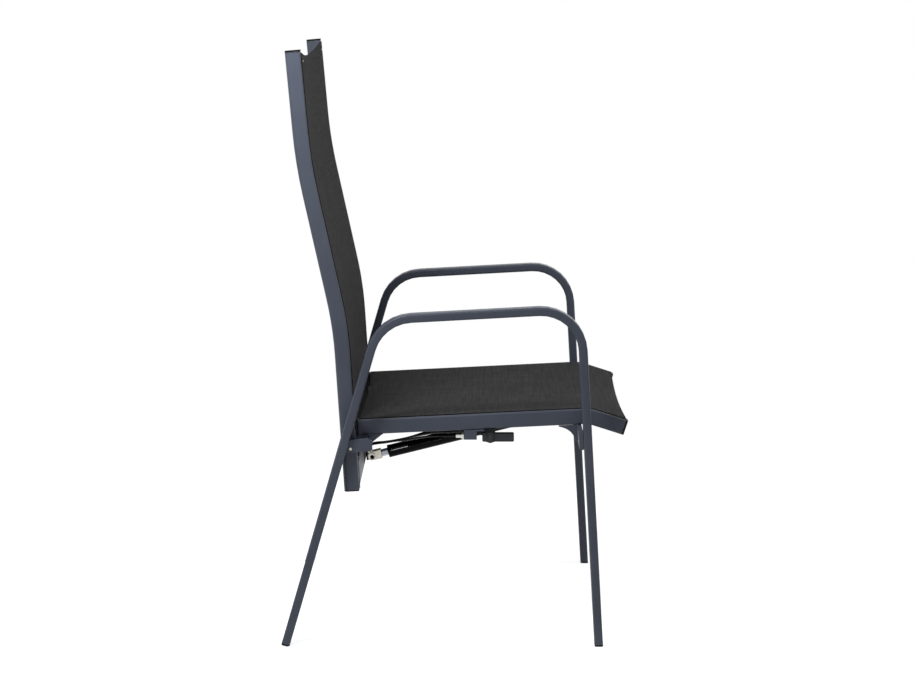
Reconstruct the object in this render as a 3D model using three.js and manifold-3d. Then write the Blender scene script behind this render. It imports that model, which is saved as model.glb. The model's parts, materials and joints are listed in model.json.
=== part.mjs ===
import * as THREE from "three";
import { mergeVertices } from "three/addons/utils/BufferGeometryUtils.js";
import Module from "manifold-3d";

const wasm = await Module();
wasm.setup();

// A high-backed patio chair with a reclining back: two bent side frames, a sling seat, a sling back
// on a pivot, and a locking gas spring under the seat that a hand lever releases.
// Millimetres, +Z up. The sitter faces -Y, with the left hand at +X.

// Driving dimensions

const gap = 0.3;
const overrun = 3;
const chairWidth = 580;

const leg = { wide: 25, deep: 16, wall: 1.6, corner: 4, innerCorner: 2 };
const sideLine = {
  rearFootY: 354.5,
  armRearY: 172.9,
  armRearZ: 615.9,
  armFrontY: -192,
  armFrontZ: 635.4,
  frontFootY: -230,
  rearBend: 80,
  frontBend: 77,
};
const foot = { sole: 3.5, plug: 14, flat: 1.5, frontSink: 0.6 };

const backRail = { wide: 22, high: 28, wall: 1.8, corner: 2, lowCorner: 8, sideClearance: 3 };
const backLine = {
  bottomY: 228.8,
  bottomZ: 292,
  lumbarY: 246.4,
  lumbarZ: 599.1,
  shoulderY: 310.1,
  shoulderZ: 897.6,
  topY: 326.1,
  topZ: 1096,
  lumbarBend: 700,
  shoulderBend: 900,
};
const railCap = { top: 4, bottom: 2, plug: 14 };

const seatRail = { wide: 22, high: 29, wall: 1.8, corner: 4, lowCorner: 4, sideClearance: 6 };
const seatLine = {
  rearY: 216.7,
  rearZ: 405.1,
  kneeY: -211.2,
  kneeZ: 425.9,
  frontY: -275.1,
  frontZ: 405.1,
  kneeBend: 50,
};
const seatCap = { front: 4, rear: 3, plug: 14 };

// The fabric's edge goes down a slot in the rail, to a channel that holds its cord.
const channel = { inset: 6.5, depth: 5.6, radius: 3.2, slot: 2.4 };
const fabric = { thick: 1.2, tuck: 2.2, seatSag: 6, backSag: 6, endInset: 2 };
// Distances up the back rails: where the fabric's edges leave their slots, and its lower end. Between
// the two it is cut back by its inset, so that it passes between the pivots.
const backFlap = { start: 112, end: 52, inset: 30 };
const splineRadius = 2.5;

const pivot = {
  y: 229, z: 374, pin: 3, bush: 5, flange: 7, flangeThick: 1, head: 5.5, headThick: 3.5, tipInset: 0.8,
};
const rearPlate = {
  thick: 5, outerInset: 13, frontY: 189, topZ: 391, bottomZ: 370, rise: 3, chamfer: 8, nose: 4,
};
const rearGusset = { thick: 4, inset: 1, frontY: 172, shoulderY: 190, shoulderZ: 378, eye: 12 };
const rearTube = { y: 201, z: 381, radius: 8, bore: 6.4 };

const frontBar = { deep: 8, high: 36, wall: 1.5, corner: 2, innerCorner: 1, endInset: 6, cap: 2, plug: 10 };
const frontGusset = { thick: 4, inset: 1, reach: 34, drop: 30, foot: 4, toe: 5 };

const lowerBar = { high: 45, deep: 16, wall: 1.8, corner: 3, innerCorner: 1.2 };
const upperBar = { drop: 61.2, radius: 8, bore: 6.4, setBack: 4 };

const tongue = { thick: 6, radius: 8, rootHigh: 20, straight: 4 };
const forkPin = { y: 203, z: 297.5, radius: 4, head: 6.5, headThick: 2.5, hollow: 2.4, hollowDeep: 8 };
const fork = { wide: 20, radius: 8.4, bodyEnd: 19, slotEnd: 10.5, play: 1.9, slotSide: 0.6, neck: 7 };
const anchor = { y: -165, z: 390.3, pin: 4, eye: 9, eyeWide: 10, earThick: 3, earSide: 0.6, head: 6.5 };
const spring = {
  rod: 4.5, cylinder: 10, cylinderStart: 73, cylinderEnd: 338, neck: 5, collar: 8, collarLong: 6,
  wallRound: 2, bore: 5,
};
const lockNut = { start: 19.6, long: 12.8, radius: 7.5, bore: 4.8 };
const guard = {
  start: 32.7, end: 284, outer: 12.6, inner: 11, wall: 3, openStart: 38, openEnd: 262, rimLift: 1.2, farWall: 5,
};

const handle = {
  y: -28, hub: 9, hubLow: 376.3, hubHigh: 395.4, gripRearY: -13, gripEndY: -72, gripLow: 376.8,
  gripHigh: 393.2, gripThick: 9, armReach: 18, armWide: 8, armLow: 383, armHigh: 391, round: 2.5,
};
const leverBracket = { rearY: 21, frontY: -37, boxFrontY: -3, wide: 20, plate: 2, wall: 2, low: 381.8 };
const leverBolt = { shank: 3, head: 5, headThick: 2.4, headGap: 0.3 };
const collar = { radius: 5.4, rib: 6.6, ribs: 2, blockRearY: -3.4, blockFrontY: -11.5, blockLow: 389.5, wide: 12 };
const adjuster = { radius: 3.6, nut: 5.5, nutLong: 4, long: 15, bore: 1.5, z: 387, bodyStart: 2.5 };
const releaseLever = {
  along: -4.6, thick: 2.4, wide: 11, low: 11.2, top: 26, pivotLift: 13.2, pin: 1.5, earWide: 3, earRound: 3,
};
const cableStop = { along: 0.6, thick: 2, wide: 18, top: 26, holeX: 4.5, holeLift: 22, holeRadius: 2.8 };
const cable = { radius: 2.3, sides: 4, steps: 34 };

// Routes of the two release cables, from the hand lever back to the spring's rear end: the places
// along Y and Z, and each one's share of the way across from the spring to the lever.
const releaseRoute = [
  [36.4, 387], [45, 386.8], [66, 383], [85, 378.3], [112.7, 364.9], [133, 353.8], [154.7, 343.8],
  [176.5, 331.3], [190.5, 324.6], [198.7, 321.3], [202.6, 320.3], [206.8, 319.2],
];
const releaseShares = [1, 0.998, 0.936, 0.849, 0.666, 0.506, 0.323, 0.135, 0.034, 0, 0, 0];
const returnRoute = [
  [-19.5, 387], [-8, 387.3], [21.2, 392.3], [47.5, 388.9], [78.1, 383], [109.4, 368.5], [135.5, 354.1],
  [157.5, 340], [177.5, 329], [190.5, 324], [198.7, 321.3], [202.6, 320.3], [206.8, 319.2],
];
const returnShares = [1, 1, 0.96, 0.913, 0.81, 0.655, 0.491, 0.284, 0.115, 0.031, 0, 0, 0];
const returnInset = 14.5;

// Places worked out from the driving dimensions

const halfWidth = chairWidth / 2;
const legX = halfWidth - leg.wide / 2;
const legInnerX = halfWidth - leg.wide;
const backRailX = legInnerX - backRail.sideClearance - backRail.wide / 2;
const backRailInnerX = backRailX - backRail.wide / 2;
const seatRailX = backRailInnerX - seatRail.sideClearance - seatRail.wide / 2;
const seatRailOuterX = seatRailX + seatRail.wide / 2;
const rearPlateX = halfWidth - rearPlate.outerInset - rearPlate.thick / 2;
const rearGussetX = seatRailOuterX - rearGusset.inset - rearGusset.thick / 2;

// Colours and finishes

const finish = (color, roughness, metalness) => () =>
  new THREE.MeshStandardMaterial({ color, roughness, metalness });
const paint = finish("#4b515c", 0.55, 0.3);
const slingCloth = finish("#38393b", 0.9, 0);
const blackPlastic = finish("#1b1c1e", 0.5, 0);
const greyPlastic = finish("#7d8086", 0.6, 0);
const zinc = finish("#c9c6b8", 0.35, 0.9);
const steel = finish("#b9bbbd", 0.3, 0.95);
const blackSteel = finish("#17181a", 0.4, 0.4);

// Shape helpers

const chair = new THREE.Group();

function place(name, geometry, material, position = [0, 0, 0], parent = chair) {
  const mesh = new THREE.Mesh(geometry, material());
  mesh.name = name;
  mesh.position.set(...position);
  parent.add(mesh);
  return mesh;
}

function toSolid(geometry) {
  const bare = geometry.clone();
  for (const key of Object.keys(bare.attributes)) if (key !== "position") bare.deleteAttribute(key);
  const merged = mergeVertices(bare);
  return new wasm.Manifold(new wasm.Mesh({
    numProp: 3,
    vertProperties: new Float32Array(merged.attributes.position.array),
    triVerts: new Uint32Array(merged.index.array),
  }));
}

function toGeometry(solid) {
  const mesh = solid.getMesh();
  const geometry = new THREE.BufferGeometry();
  geometry.setAttribute("position", new THREE.BufferAttribute(mesh.vertProperties, 3));
  geometry.setIndex(new THREE.BufferAttribute(mesh.triVerts, 1));
  return geometry;
}

function cut(geometry, ...cutters) {
  return toGeometry(cutters.reduce((solid, cutter) => solid.subtract(toSolid(cutter)), toSolid(geometry)));
}

function join(geometry, ...others) {
  return toGeometry(others.reduce((solid, other) => solid.add(toSolid(other)), toSolid(geometry)));
}

function roundedBox(wide, high, radii, Kind = THREE.Shape) {
  // radii run from the +x +y corner, anticlockwise
  const [a, b, c, d] = Array.isArray(radii) ? radii : [radii, radii, radii, radii];
  const x = wide / 2;
  const y = high / 2;
  const shape = new Kind();
  shape.moveTo(x, y - a);
  shape.absarc(x - a, y - a, a, 0, Math.PI / 2, false);
  shape.absarc(-x + b, y - b, b, Math.PI / 2, Math.PI, false);
  shape.absarc(-x + c, -y + c, c, Math.PI, Math.PI * 1.5, false);
  shape.absarc(x - d, -y + d, d, Math.PI * 1.5, Math.PI * 2, false);
  shape.closePath();
  return shape;
}

function tubeSection(size, high) {
  const section = roundedBox(size.wide, high, size.corner);
  const bore = roundedBox(size.wide - 2 * size.wall, high - 2 * size.wall, size.innerCorner, THREE.Path);
  section.holes.push(bore);
  return section;
}

// A rail's section, with the cord channel near its outer side, open through a slot in the +y face.
function channelSection(size, side) {
  const x = (value) => side * value;
  const halfX = size.wide / 2;
  const halfY = size.high / 2;
  const channelX = halfX - channel.inset;
  const channelY = halfY - channel.depth;
  const lip = Math.asin(channel.slot / 2 / channel.radius);
  const points = [];
  const arc = (cx, cy, radius, from, to, steps) => {
    for (let i = 0; i <= steps; i += 1) {
      const angle = from + (to - from) * (i / steps);
      points.push(new THREE.Vector2(x(cx + radius * Math.cos(angle)), cy + radius * Math.sin(angle)));
    }
  };
  const cornerSteps = 3;
  const channelSteps = 10;
  const quarter = Math.PI / 2;
  const { corner, lowCorner } = size;
  arc(halfX - lowCorner, -halfY + lowCorner, lowCorner, -quarter, 0, cornerSteps);
  arc(halfX - corner, halfY - corner, corner, 0, quarter, cornerSteps);
  points.push(new THREE.Vector2(x(channelX + channel.slot / 2), halfY));
  arc(channelX, channelY, channel.radius, quarter - lip, lip + quarter - 2 * Math.PI, channelSteps);
  points.push(new THREE.Vector2(x(channelX - channel.slot / 2), halfY));
  arc(-halfX + corner, halfY - corner, corner, quarter, 2 * quarter, cornerSteps);
  arc(-halfX + corner, -halfY + corner, corner, 2 * quarter, 3 * quarter, cornerSteps);
  const section = new THREE.Shape(side > 0 ? points : points.reverse());
  section.holes.push(channelBore(size, side, 0, THREE.Path));
  return section;
}

// The hollow below the channel, which the end plugs fit.
function channelBore(size, side, clearance, Kind = THREE.Shape) {
  const top = size.high / 2 - channel.depth - channel.radius - size.wall - clearance;
  const bottom = -size.high / 2 + size.wall + clearance;
  const half = size.wide / 2 - size.wall - clearance;
  const slant = Math.max(size.wall, size.lowCorner - size.wall);
  const bore = new Kind();
  bore.moveTo(side * half, bottom + slant);
  bore.lineTo(side * half, top);
  bore.lineTo(-side * half, top);
  bore.lineTo(-side * half, bottom);
  bore.lineTo(side * (half - slant), bottom);
  bore.closePath();
  return bore;
}

// A path in the YZ plane through rounded corners. Stations lie only where the path bends.
function bentPath(corners, bendStep = Math.PI / 15) {
  const stations = [];
  const direction = (from, to) => to.clone().sub(from).normalize();
  const add = (point, tangent) => stations.push({
    point: new THREE.Vector3(0, point.x, point.y),
    tangent: new THREE.Vector3(0, tangent.x, tangent.y),
  });
  const points = corners.map(([y, z]) => new THREE.Vector2(y, z));
  corners.forEach(([, , radius], i) => {
    if (i === 0) return add(points[0], direction(points[0], points[1]));
    const inward = direction(points[i - 1], points[i]);
    if (i === corners.length - 1) return add(points[i], inward);
    const outward = direction(points[i], points[i + 1]);
    const turn = inward.angleTo(outward);
    const hand = Math.sign(inward.cross(outward));
    const start = points[i].clone().addScaledVector(inward, -radius * Math.tan(turn / 2));
    const centre = start.clone().add(new THREE.Vector2(-inward.y, inward.x).multiplyScalar(hand * radius));
    const steps = Math.max(3, Math.ceil(turn / bendStep));
    for (let step = 0; step <= steps; step += 1) {
      const angle = hand * turn * (step / steps);
      const point = start.clone().rotateAround(centre, angle);
      add(point, inward.clone().rotateAround(new THREE.Vector2(), angle));
    }
    return undefined;
  });
  return stations;
}

// A curve whose cross direction stays along X, so that a section keeps its orientation.
class StationCurve extends THREE.Curve {
  constructor(stations) {
    super();
    this.stations = stations;
  }

  station(u) {
    return this.stations[Math.round(u * (this.stations.length - 1))];
  }

  getPointAt(u) {
    return this.station(u).point.clone();
  }

  getTangentAt(u) {
    return this.station(u).tangent.clone();
  }

  computeFrenetFrames(segments) {
    const tangents = Array.from({ length: segments + 1 }, (_, i) => this.getTangentAt(i / segments));
    const normals = tangents.map(() => new THREE.Vector3(1, 0, 0));
    const binormals = tangents.map((tangent, i) => tangent.clone().cross(normals[i]));
    return { tangents, normals, binormals };
  }
}

// The section's x lies along X, and its y to the left of the path, seen with -X towards the viewer.
function sweep(section, stations, curveSegments = 3) {
  const extrudePath = new StationCurve(stations);
  const steps = stations.length - 1;
  return new THREE.ExtrudeGeometry(section, { extrudePath, steps, curveSegments, bevelEnabled: false });
}

// The stretch of a path between two distances along it.
function stretch(stations, from, to) {
  const result = [];
  let along = 0;
  const blend = (a, b, share) => ({
    point: a.point.clone().lerp(b.point, share),
    tangent: a.tangent.clone().lerp(b.tangent, share).normalize(),
  });
  for (let i = 1; i < stations.length; i += 1) {
    const a = stations[i - 1];
    const b = stations[i];
    const long = a.point.distanceTo(b.point);
    const next = along + long;
    if (next > from && along < to) {
      if (result.length === 0) result.push(blend(a, b, Math.max(0, (from - along) / long)));
      result.push(blend(a, b, Math.min(1, (to - along) / long)));
    }
    along = next;
  }
  return result;
}

function pathLength(stations) {
  return stations.slice(1).reduce((sum, s, i) => sum + s.point.distanceTo(stations[i].point), 0);
}

// Turns a geometry whose z axis is a path's direction onto one end of the path.
function seatOnStation(geometry, station, side = 0) {
  const binormal = station.tangent.clone().cross(new THREE.Vector3(1, 0, 0));
  const matrix = new THREE.Matrix4().makeBasis(new THREE.Vector3(1, 0, 0), binormal, station.tangent);
  matrix.setPosition(station.point.x + side, station.point.y, station.point.z);
  return geometry.applyMatrix4(matrix);
}

function prism(section, from, to, curveSegments = 3) {
  const geometry = new THREE.ExtrudeGeometry(section, { depth: to - from, curveSegments, bevelEnabled: false });
  return geometry.translate(0, 0, from);
}

// A plate with its outline in YZ, from one X to another.
function plateX(outline, fromX, toX, curveSegments = 8) {
  const geometry = new THREE.ExtrudeGeometry(outline, {
    depth: Math.abs(toX - fromX), curveSegments, bevelEnabled: false,
  });
  const turn = new THREE.Matrix4().makeBasis(
    new THREE.Vector3(0, 1, 0), new THREE.Vector3(0, 0, 1), new THREE.Vector3(1, 0, 0),
  );
  return geometry.applyMatrix4(turn).translate(Math.min(fromX, toX), 0, 0);
}

function outlineOf(points) {
  return new THREE.Shape(points.map(([y, z]) => new THREE.Vector2(y, z)));
}

// A turned piece: profile points are [radius, along], around the X axis.
function turnedX(profile, segments = 16) {
  const points = profile.map(([radius, along]) => new THREE.Vector2(radius, along));
  return new THREE.LatheGeometry(points, segments).rotateZ(-Math.PI / 2);
}

function cylinderX(radius, fromX, toX, y = 0, z = 0, segments = 18) {
  const long = Math.abs(toX - fromX);
  const geometry = new THREE.CylinderGeometry(radius, radius, long, segments).rotateZ(Math.PI / 2);
  return geometry.translate((fromX + toX) / 2, y, z);
}

function box(size, centre) {
  return new THREE.BoxGeometry(...size).translate(...centre);
}

const sides = [["left", 1], ["right", -1]];

// Side frames

const framePath = bentPath([
  [sideLine.rearFootY, 0],
  [sideLine.armRearY, sideLine.armRearZ, sideLine.rearBend],
  [sideLine.armFrontY, sideLine.armFrontZ, sideLine.frontBend],
  [sideLine.frontFootY, 0],
]);
const frameLength = pathLength(framePath);
const rearLegLean = Math.atan2(sideLine.rearFootY - sideLine.armRearY, sideLine.armRearZ);
const frontLegLean = Math.atan2(sideLine.armFrontY - sideLine.frontFootY, sideLine.armFrontZ);

// Where the sole's middle lies along the frame's path, so that its flat is cut at the floor.
const rearSoleAlong = ((leg.deep / 2) * Math.sin(rearLegLean) - foot.flat) / Math.cos(rearLegLean);
const frontSoleAlong = -foot.frontSink;

function legYAt(z, faceOffset) {
  const share = z / sideLine.armRearZ;
  const middle = sideLine.rearFootY + (sideLine.armRearY - sideLine.rearFootY) * share;
  return middle + faceOffset / Math.cos(rearLegLean);
}

function makeSideFrame(name, side) {
  const tube = stretch(framePath, rearSoleAlong + foot.sole, frameLength - frontSoleAlong - foot.sole);
  place(`side_frame_${name}`, sweep(tubeSection(leg, leg.deep), tube), paint, [side * legX, 0, 0]);
}

function makeFoot(name, side, end) {
  const soleOutline = roundedBox(leg.wide, leg.deep, leg.corner);
  const plugOutline = roundedBox(
    leg.wide - 2 * leg.wall - 2 * gap, leg.deep - 2 * leg.wall - 2 * gap, leg.innerCorner,
  );
  const sole = prism(soleOutline, 0, foot.sole - gap);
  const plug = prism(plugOutline, 0, foot.sole + foot.plug);
  const raw = join(sole, plug);
  const along = end === "rear" ? rearSoleAlong : frontSoleAlong;
  const first = end === "rear" ? framePath[0] : framePath[framePath.length - 1];
  const up = end === "rear" ? first.tangent.clone() : first.tangent.clone().negate();
  const point = first.point.clone().addScaledVector(up, along);
  const seated = seatOnStation(raw, { point, tangent: up }, side * legX);
  const below = leg.deep + foot.sole;
  const floorCut = box(
    [leg.wide + 2 * overrun, leg.deep + 2 * below, below],
    [side * legX, point.y, -below / 2],
  );
  place(`foot_${end}_${name}`, cut(seated, floorCut), blackPlastic);
}

// Seat: rails, end caps, fabric and its cords

const seatPath = bentPath([
  [seatLine.rearY, seatLine.rearZ],
  [seatLine.kneeY, seatLine.kneeZ, seatLine.kneeBend],
  [seatLine.frontY, seatLine.frontZ],
]);
const seatLength = pathLength(seatPath);
const seatTilt = Math.atan2(seatLine.kneeZ - seatLine.rearZ, seatLine.rearY - seatLine.kneeY);

function seatRailBottomZ(y) {
  const middle = seatLine.rearZ + (seatLine.rearY - y) * Math.tan(seatTilt);
  return middle - seatRail.high / 2 / Math.cos(seatTilt);
}

function makeSeatRail(name, side) {
  place(`seat_rail_${name}`, sweep(channelSection(seatRail, side), seatPath), paint, [side * seatRailX, 0, 0]);
}

// A cap over a rail's open end: a cover with the rail's outline and a plug in its hollow.
function endCap(size, side, cover, plug, outward) {
  const { corner, lowCorner } = size;
  const radii = side > 0 ? [corner, corner, corner, lowCorner] : [corner, corner, lowCorner, corner];
  const span = (from, to) => (outward > 0 ? [from, to] : [-to, -from]);
  const plate = prism(roundedBox(size.wide, size.high, radii), ...span(gap, cover));
  const stem = prism(channelBore(size, side, gap), ...span(-plug, cover));
  return join(plate, stem);
}

function makeSeatCaps(name, side) {
  const last = seatPath[seatPath.length - 1];
  const front = seatOnStation(endCap(seatRail, side, seatCap.front, seatCap.plug, 1), last, side * seatRailX);
  place(`seat_rail_front_cap_${name}`, front, blackPlastic);
  const first = seatPath[0];
  const rear = seatOnStation(endCap(seatRail, side, seatCap.rear, seatCap.plug, -1), first, side * seatRailX);
  place(`seat_rail_rear_cap_${name}`, rear, blackPlastic);
}

// The fabric's section: over both rails, down into their slots, and sagging between them.
function slingSection(railX, size, sag) {
  const { high } = size;
  const slotX = railX + size.wide / 2 - channel.inset;
  const over = high / 2 + gap + fabric.thick / 2;
  const innerX = railX - size.wide / 2;
  const acrossSteps = 16;
  const middle = [];
  for (let i = 0; i <= acrossSteps; i += 1) {
    const share = (2 * i) / acrossSteps - 1;
    middle.push([innerX * share, over - sag * (1 - share * share)]);
  }
  const line = [[-slotX, high / 2 - fabric.tuck], [-slotX, over], ...middle, [slotX, over],
    [slotX, high / 2 - fabric.tuck]].map(([x, y]) => new THREE.Vector2(x, y));
  const side = (sign) => line.map((point, i) => {
    const before = line[Math.max(0, i - 1)];
    const after = line[Math.min(line.length - 1, i + 1)];
    const inward = point.clone().sub(before).normalize();
    const outward = after.clone().sub(point).normalize();
    const along = inward.clone().add(outward).normalize();
    const square = i === 0 ? outward : inward;
    const spread = fabric.thick / 2 / Math.max(0.5, along.dot(square));
    return new THREE.Vector2(point.x - sign * along.y * spread, point.y + sign * along.x * spread);
  });
  return new THREE.Shape([...side(1), ...side(-1).reverse()]);
}

function makeSeatSling() {
  const path = stretch(seatPath, fabric.endInset, seatLength - gap);
  const section = slingSection(seatRailX, seatRail, fabric.seatSag);
  place("seat_sling", sweep(section, path), slingCloth);
}

function cordSection(size, side) {
  const section = new THREE.Shape();
  const centreX = side * (size.wide / 2 - channel.inset);
  section.absarc(centreX, size.high / 2 - channel.depth, splineRadius, 0, 2 * Math.PI, false);
  return section;
}

function makeSeatSpline(name, side) {
  const path = stretch(seatPath, fabric.endInset, seatLength - gap);
  const section = cordSection(seatRail, side);
  place(`seat_cord_${name}`, sweep(section, path, 10), blackPlastic, [side * seatRailX, 0, 0]);
}

// Back: rails, end caps, fabric and its cords, cross bars
// The path runs from the top down, so that the sections' +y side faces the sitter.

const backPath = bentPath([
  [backLine.topY, backLine.topZ],
  [backLine.shoulderY, backLine.shoulderZ, backLine.shoulderBend],
  [backLine.lumbarY, backLine.lumbarZ, backLine.lumbarBend],
  [backLine.bottomY, backLine.bottomZ],
], Math.PI / 90);
const backLength = pathLength(backPath);
const lowerLean = Math.atan2(backLine.lumbarY - backLine.bottomY, backLine.lumbarZ - backLine.bottomZ);

function makeBackRail(name, side) {
  const rail = sweep(channelSection(backRail, side), backPath).translate(side * backRailX, 0, 0);
  const outerX = side * (backRailX + backRail.wide / 2);
  const hole = cylinderX(
    pivot.bush + gap, side * (backRailInnerX - overrun), outerX + side * overrun, pivot.y, pivot.z,
  );
  place(`back_rail_${name}`, cut(rail, hole), paint);
}

function makeBackCaps(name, side) {
  const first = backPath[0];
  const top = seatOnStation(endCap(backRail, side, railCap.top, railCap.plug, -1), first, side * backRailX);
  place(`back_rail_top_cap_${name}`, top, blackPlastic);
  const last = backPath[backPath.length - 1];
  const bottom = seatOnStation(endCap(backRail, side, railCap.bottom, railCap.plug, 1), last, side * backRailX);
  place(`back_rail_bottom_cap_${name}`, bottom, blackPlastic);
}

const backSlingPath = stretch(backPath, fabric.endInset, backLength - backFlap.end);
const backCordPath = stretch(backPath, fabric.endInset, backLength - backFlap.start);

function makeBackSling() {
  const section = slingSection(backRailX, backRail, fabric.backSag);
  const notchHigh = backFlap.start - backFlap.end + overrun;
  const centre = backCordPath[backCordPath.length - 1];
  const notches = sides.map(([, side]) => {
    const inner = backRailX - backFlap.inset;
    const outer = backRailX + backRail.wide;
    const notch = box([outer - inner, 2 * backRail.high, notchHigh], [(inner + outer) / 2, 0, notchHigh / 2]);
    return seatOnStation(side > 0 ? notch : notch.rotateZ(Math.PI), centre);
  });
  place("back_sling", cut(sweep(section, backSlingPath), ...notches), slingCloth);
}

function makeBackSpline(name, side) {
  const section = cordSection(backRail, side);
  place(`back_cord_${name}`, sweep(section, backCordPath, 10), blackPlastic, [side * backRailX, 0, 0]);
}

function makeUpperBar() {
  const [{ point }] = stretch(backPath, upperBar.drop, backLength);
  const half = backRailInnerX - gap;
  const tube = turnedX([
    [upperBar.bore, -half], [upperBar.radius, -half], [upperBar.radius, half], [upperBar.bore, half],
    [upperBar.bore, -half],
  ]);
  place("upper_back_bar", tube, paint, [0, point.y + upperBar.setBack, point.z]);
}

// The flat tube between the rails' lower ends. Its front is flush with theirs.
function makeLowerBar() {
  const half = backRailInnerX - gap;
  const size = { ...lowerBar, wide: lowerBar.deep };
  const section = tubeSection(size, lowerBar.high);
  const tube = prism(section, -half, half);
  const upright = new THREE.Matrix4().makeBasis(
    new THREE.Vector3(0, 1, 0), new THREE.Vector3(0, 0, 1), new THREE.Vector3(1, 0, 0),
  );
  tube.applyMatrix4(upright).rotateX(-lowerLean);
  const [y, z] = lowerBarCentre();
  place("lower_back_bar", tube, paint, [0, y, z]);
}

function lowerBarCentre() {
  const up = lowerBar.high / 2;
  const forward = backRail.high / 2 - lowerBar.deep / 2;
  const y = backLine.bottomY + up * Math.sin(lowerLean) - forward * Math.cos(lowerLean);
  const z = backLine.bottomZ + up * Math.cos(lowerLean) + forward * Math.sin(lowerLean);
  return [y, z];
}

// Pivot of the back: a bush in each back rail, and a bolt through the inner gusset and the bush, whose
// thread ends inside the outer plate

function makePivot(name, side) {
  const railOuterX = backRailX + backRail.wide / 2;
  const flangeSpan = Math.min(pivot.flangeThick, seatRail.sideClearance / 2);
  const innerEnd = backRailInnerX - flangeSpan;
  const outerEnd = rearPlateX - rearPlate.thick / 2 - gap;
  const bush = turnedX([
    [pivot.pin + gap, innerEnd], [pivot.flange, innerEnd], [pivot.flange, backRailInnerX - gap],
    [pivot.bush, backRailInnerX - gap], [pivot.bush, railOuterX], [pivot.bush, outerEnd],
    [pivot.pin + gap, outerEnd], [pivot.pin + gap, innerEnd],
  ]);
  place(`pivot_bush_${name}`, turnSide(bush, side), blackPlastic, [0, pivot.y, pivot.z]);

  const tip = rearPlateX + rearPlate.thick / 2 - pivot.tipInset;
  const headTop = rearGussetX - rearGusset.thick / 2 - gap;
  const bolt = turnedX([
    [0, headTop - pivot.headThick], [pivot.head / 2, headTop - pivot.headThick],
    [pivot.head, headTop - pivot.headThick / 2], [pivot.head, headTop], [pivot.pin, headTop],
    [pivot.pin, tip], [0, tip],
  ]);
  place(`pivot_bolt_${name}`, turnSide(bolt, side), blackSteel, [0, pivot.y, pivot.z]);
}

// Turns a piece made at +X round to the given side.
function turnSide(geometry, side) {
  return side > 0 ? geometry : geometry.rotateZ(Math.PI);
}

function makeRearPlate(name, side) {
  const rearTop = legYAt(rearPlate.topZ, -leg.deep / 2) - gap / Math.cos(rearLegLean);
  const rearBottom = legYAt(rearPlate.bottomZ - rearPlate.rise, -leg.deep / 2) - gap / Math.cos(rearLegLean);
  const outline = outlineOf([
    [rearTop, rearPlate.topZ],
    [rearPlate.frontY + rearPlate.chamfer, rearPlate.topZ + rearPlate.rise],
    [rearPlate.frontY, rearPlate.topZ - rearPlate.nose],
    [rearPlate.frontY, rearPlate.bottomZ + rearPlate.nose],
    [rearPlate.frontY + rearPlate.nose, rearPlate.bottomZ],
    [rearBottom, rearPlate.bottomZ - rearPlate.rise],
  ]);
  const inner = side * (rearPlateX - rearPlate.thick / 2);
  const outer = side * (rearPlateX + rearPlate.thick / 2);
  const plate = plateX(outline, inner, outer);
  const boltHole = cylinderX(pivot.pin + gap, inner - side * overrun, outer + side * overrun, pivot.y, pivot.z);
  place(`rear_plate_${name}`, cut(plate, boltHole), paint);
}

function makeRearGusset(name, side) {
  const outline = new THREE.Shape();
  const frontTop = seatRailBottomZ(rearGusset.frontY) - gap;
  const rearTop = seatRailBottomZ(seatLine.rearY) - gap;
  outline.moveTo(rearGusset.frontY, frontTop);
  outline.lineTo(rearGusset.shoulderY, rearGusset.shoulderZ);
  outline.lineTo(rearTube.y, rearTube.z - rearTube.radius - rearGusset.thick);
  outline.absarc(pivot.y, pivot.z, rearGusset.eye, Math.PI * 1.5, Math.PI * 2, false);
  outline.lineTo(seatLine.rearY, rearTop);
  outline.closePath();
  const inner = side * (rearGussetX - rearGusset.thick / 2);
  const outer = side * (rearGussetX + rearGusset.thick / 2);
  const plate = plateX(outline, inner, outer);
  const hole = (radius, y, z) => cylinderX(radius, inner - side * overrun, outer + side * overrun, y, z);
  const drilled = cut(plate, hole(pivot.pin + gap, pivot.y, pivot.z),
    hole(rearTube.radius + gap, rearTube.y, rearTube.z));
  place(`rear_gusset_${name}`, drilled, paint);
}

// A round tube welded between the outer plates, through both gussets.
function makeRearTube() {
  const half = rearPlateX - rearPlate.thick / 2 - gap;
  const tube = turnedX([
    [rearTube.bore, -half], [rearTube.radius, -half], [rearTube.radius, half], [rearTube.bore, half],
    [rearTube.bore, -half],
  ]);
  place("rear_cross_tube", tube, paint, [0, rearTube.y, rearTube.z]);
}

// Front cross bar, behind the front legs and under the seat rails, with a gusset to each rail

// The bar stands square to the front legs, and its top meets the seat rails.
function frontBarPlace() {
  const up = new THREE.Vector3(0, Math.sin(frontLegLean), Math.cos(frontLegLean));
  const rearward = new THREE.Vector3(0, up.z, -up.y);
  const base = new THREE.Vector3(0, sideLine.frontFootY, 0)
    .addScaledVector(rearward, leg.deep / 2 + gap + frontBar.deep / 2);
  const slope = Math.tan(seatTilt);
  const skew = (Math.abs(Math.tan(frontLegLean) - slope) * frontBar.deep) / 2;
  const rise = (seatRailBottomZ(base.y) - gap - skew - base.z) / (up.z + up.y * slope);
  return base.addScaledVector(up, rise - frontBar.high / 2);
}

function makeFrontBar() {
  const half = halfWidth - frontBar.endInset;
  const size = { ...frontBar, wide: frontBar.deep };
  const tube = prism(tubeSection(size, frontBar.high), -half, half);
  const upright = new THREE.Matrix4().makeBasis(
    new THREE.Vector3(0, 1, 0), new THREE.Vector3(0, 0, 1), new THREE.Vector3(1, 0, 0),
  );
  tube.applyMatrix4(upright).rotateX(-frontLegLean);
  place("front_cross_bar", tube, paint, frontBarPlace().toArray());
}

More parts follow.
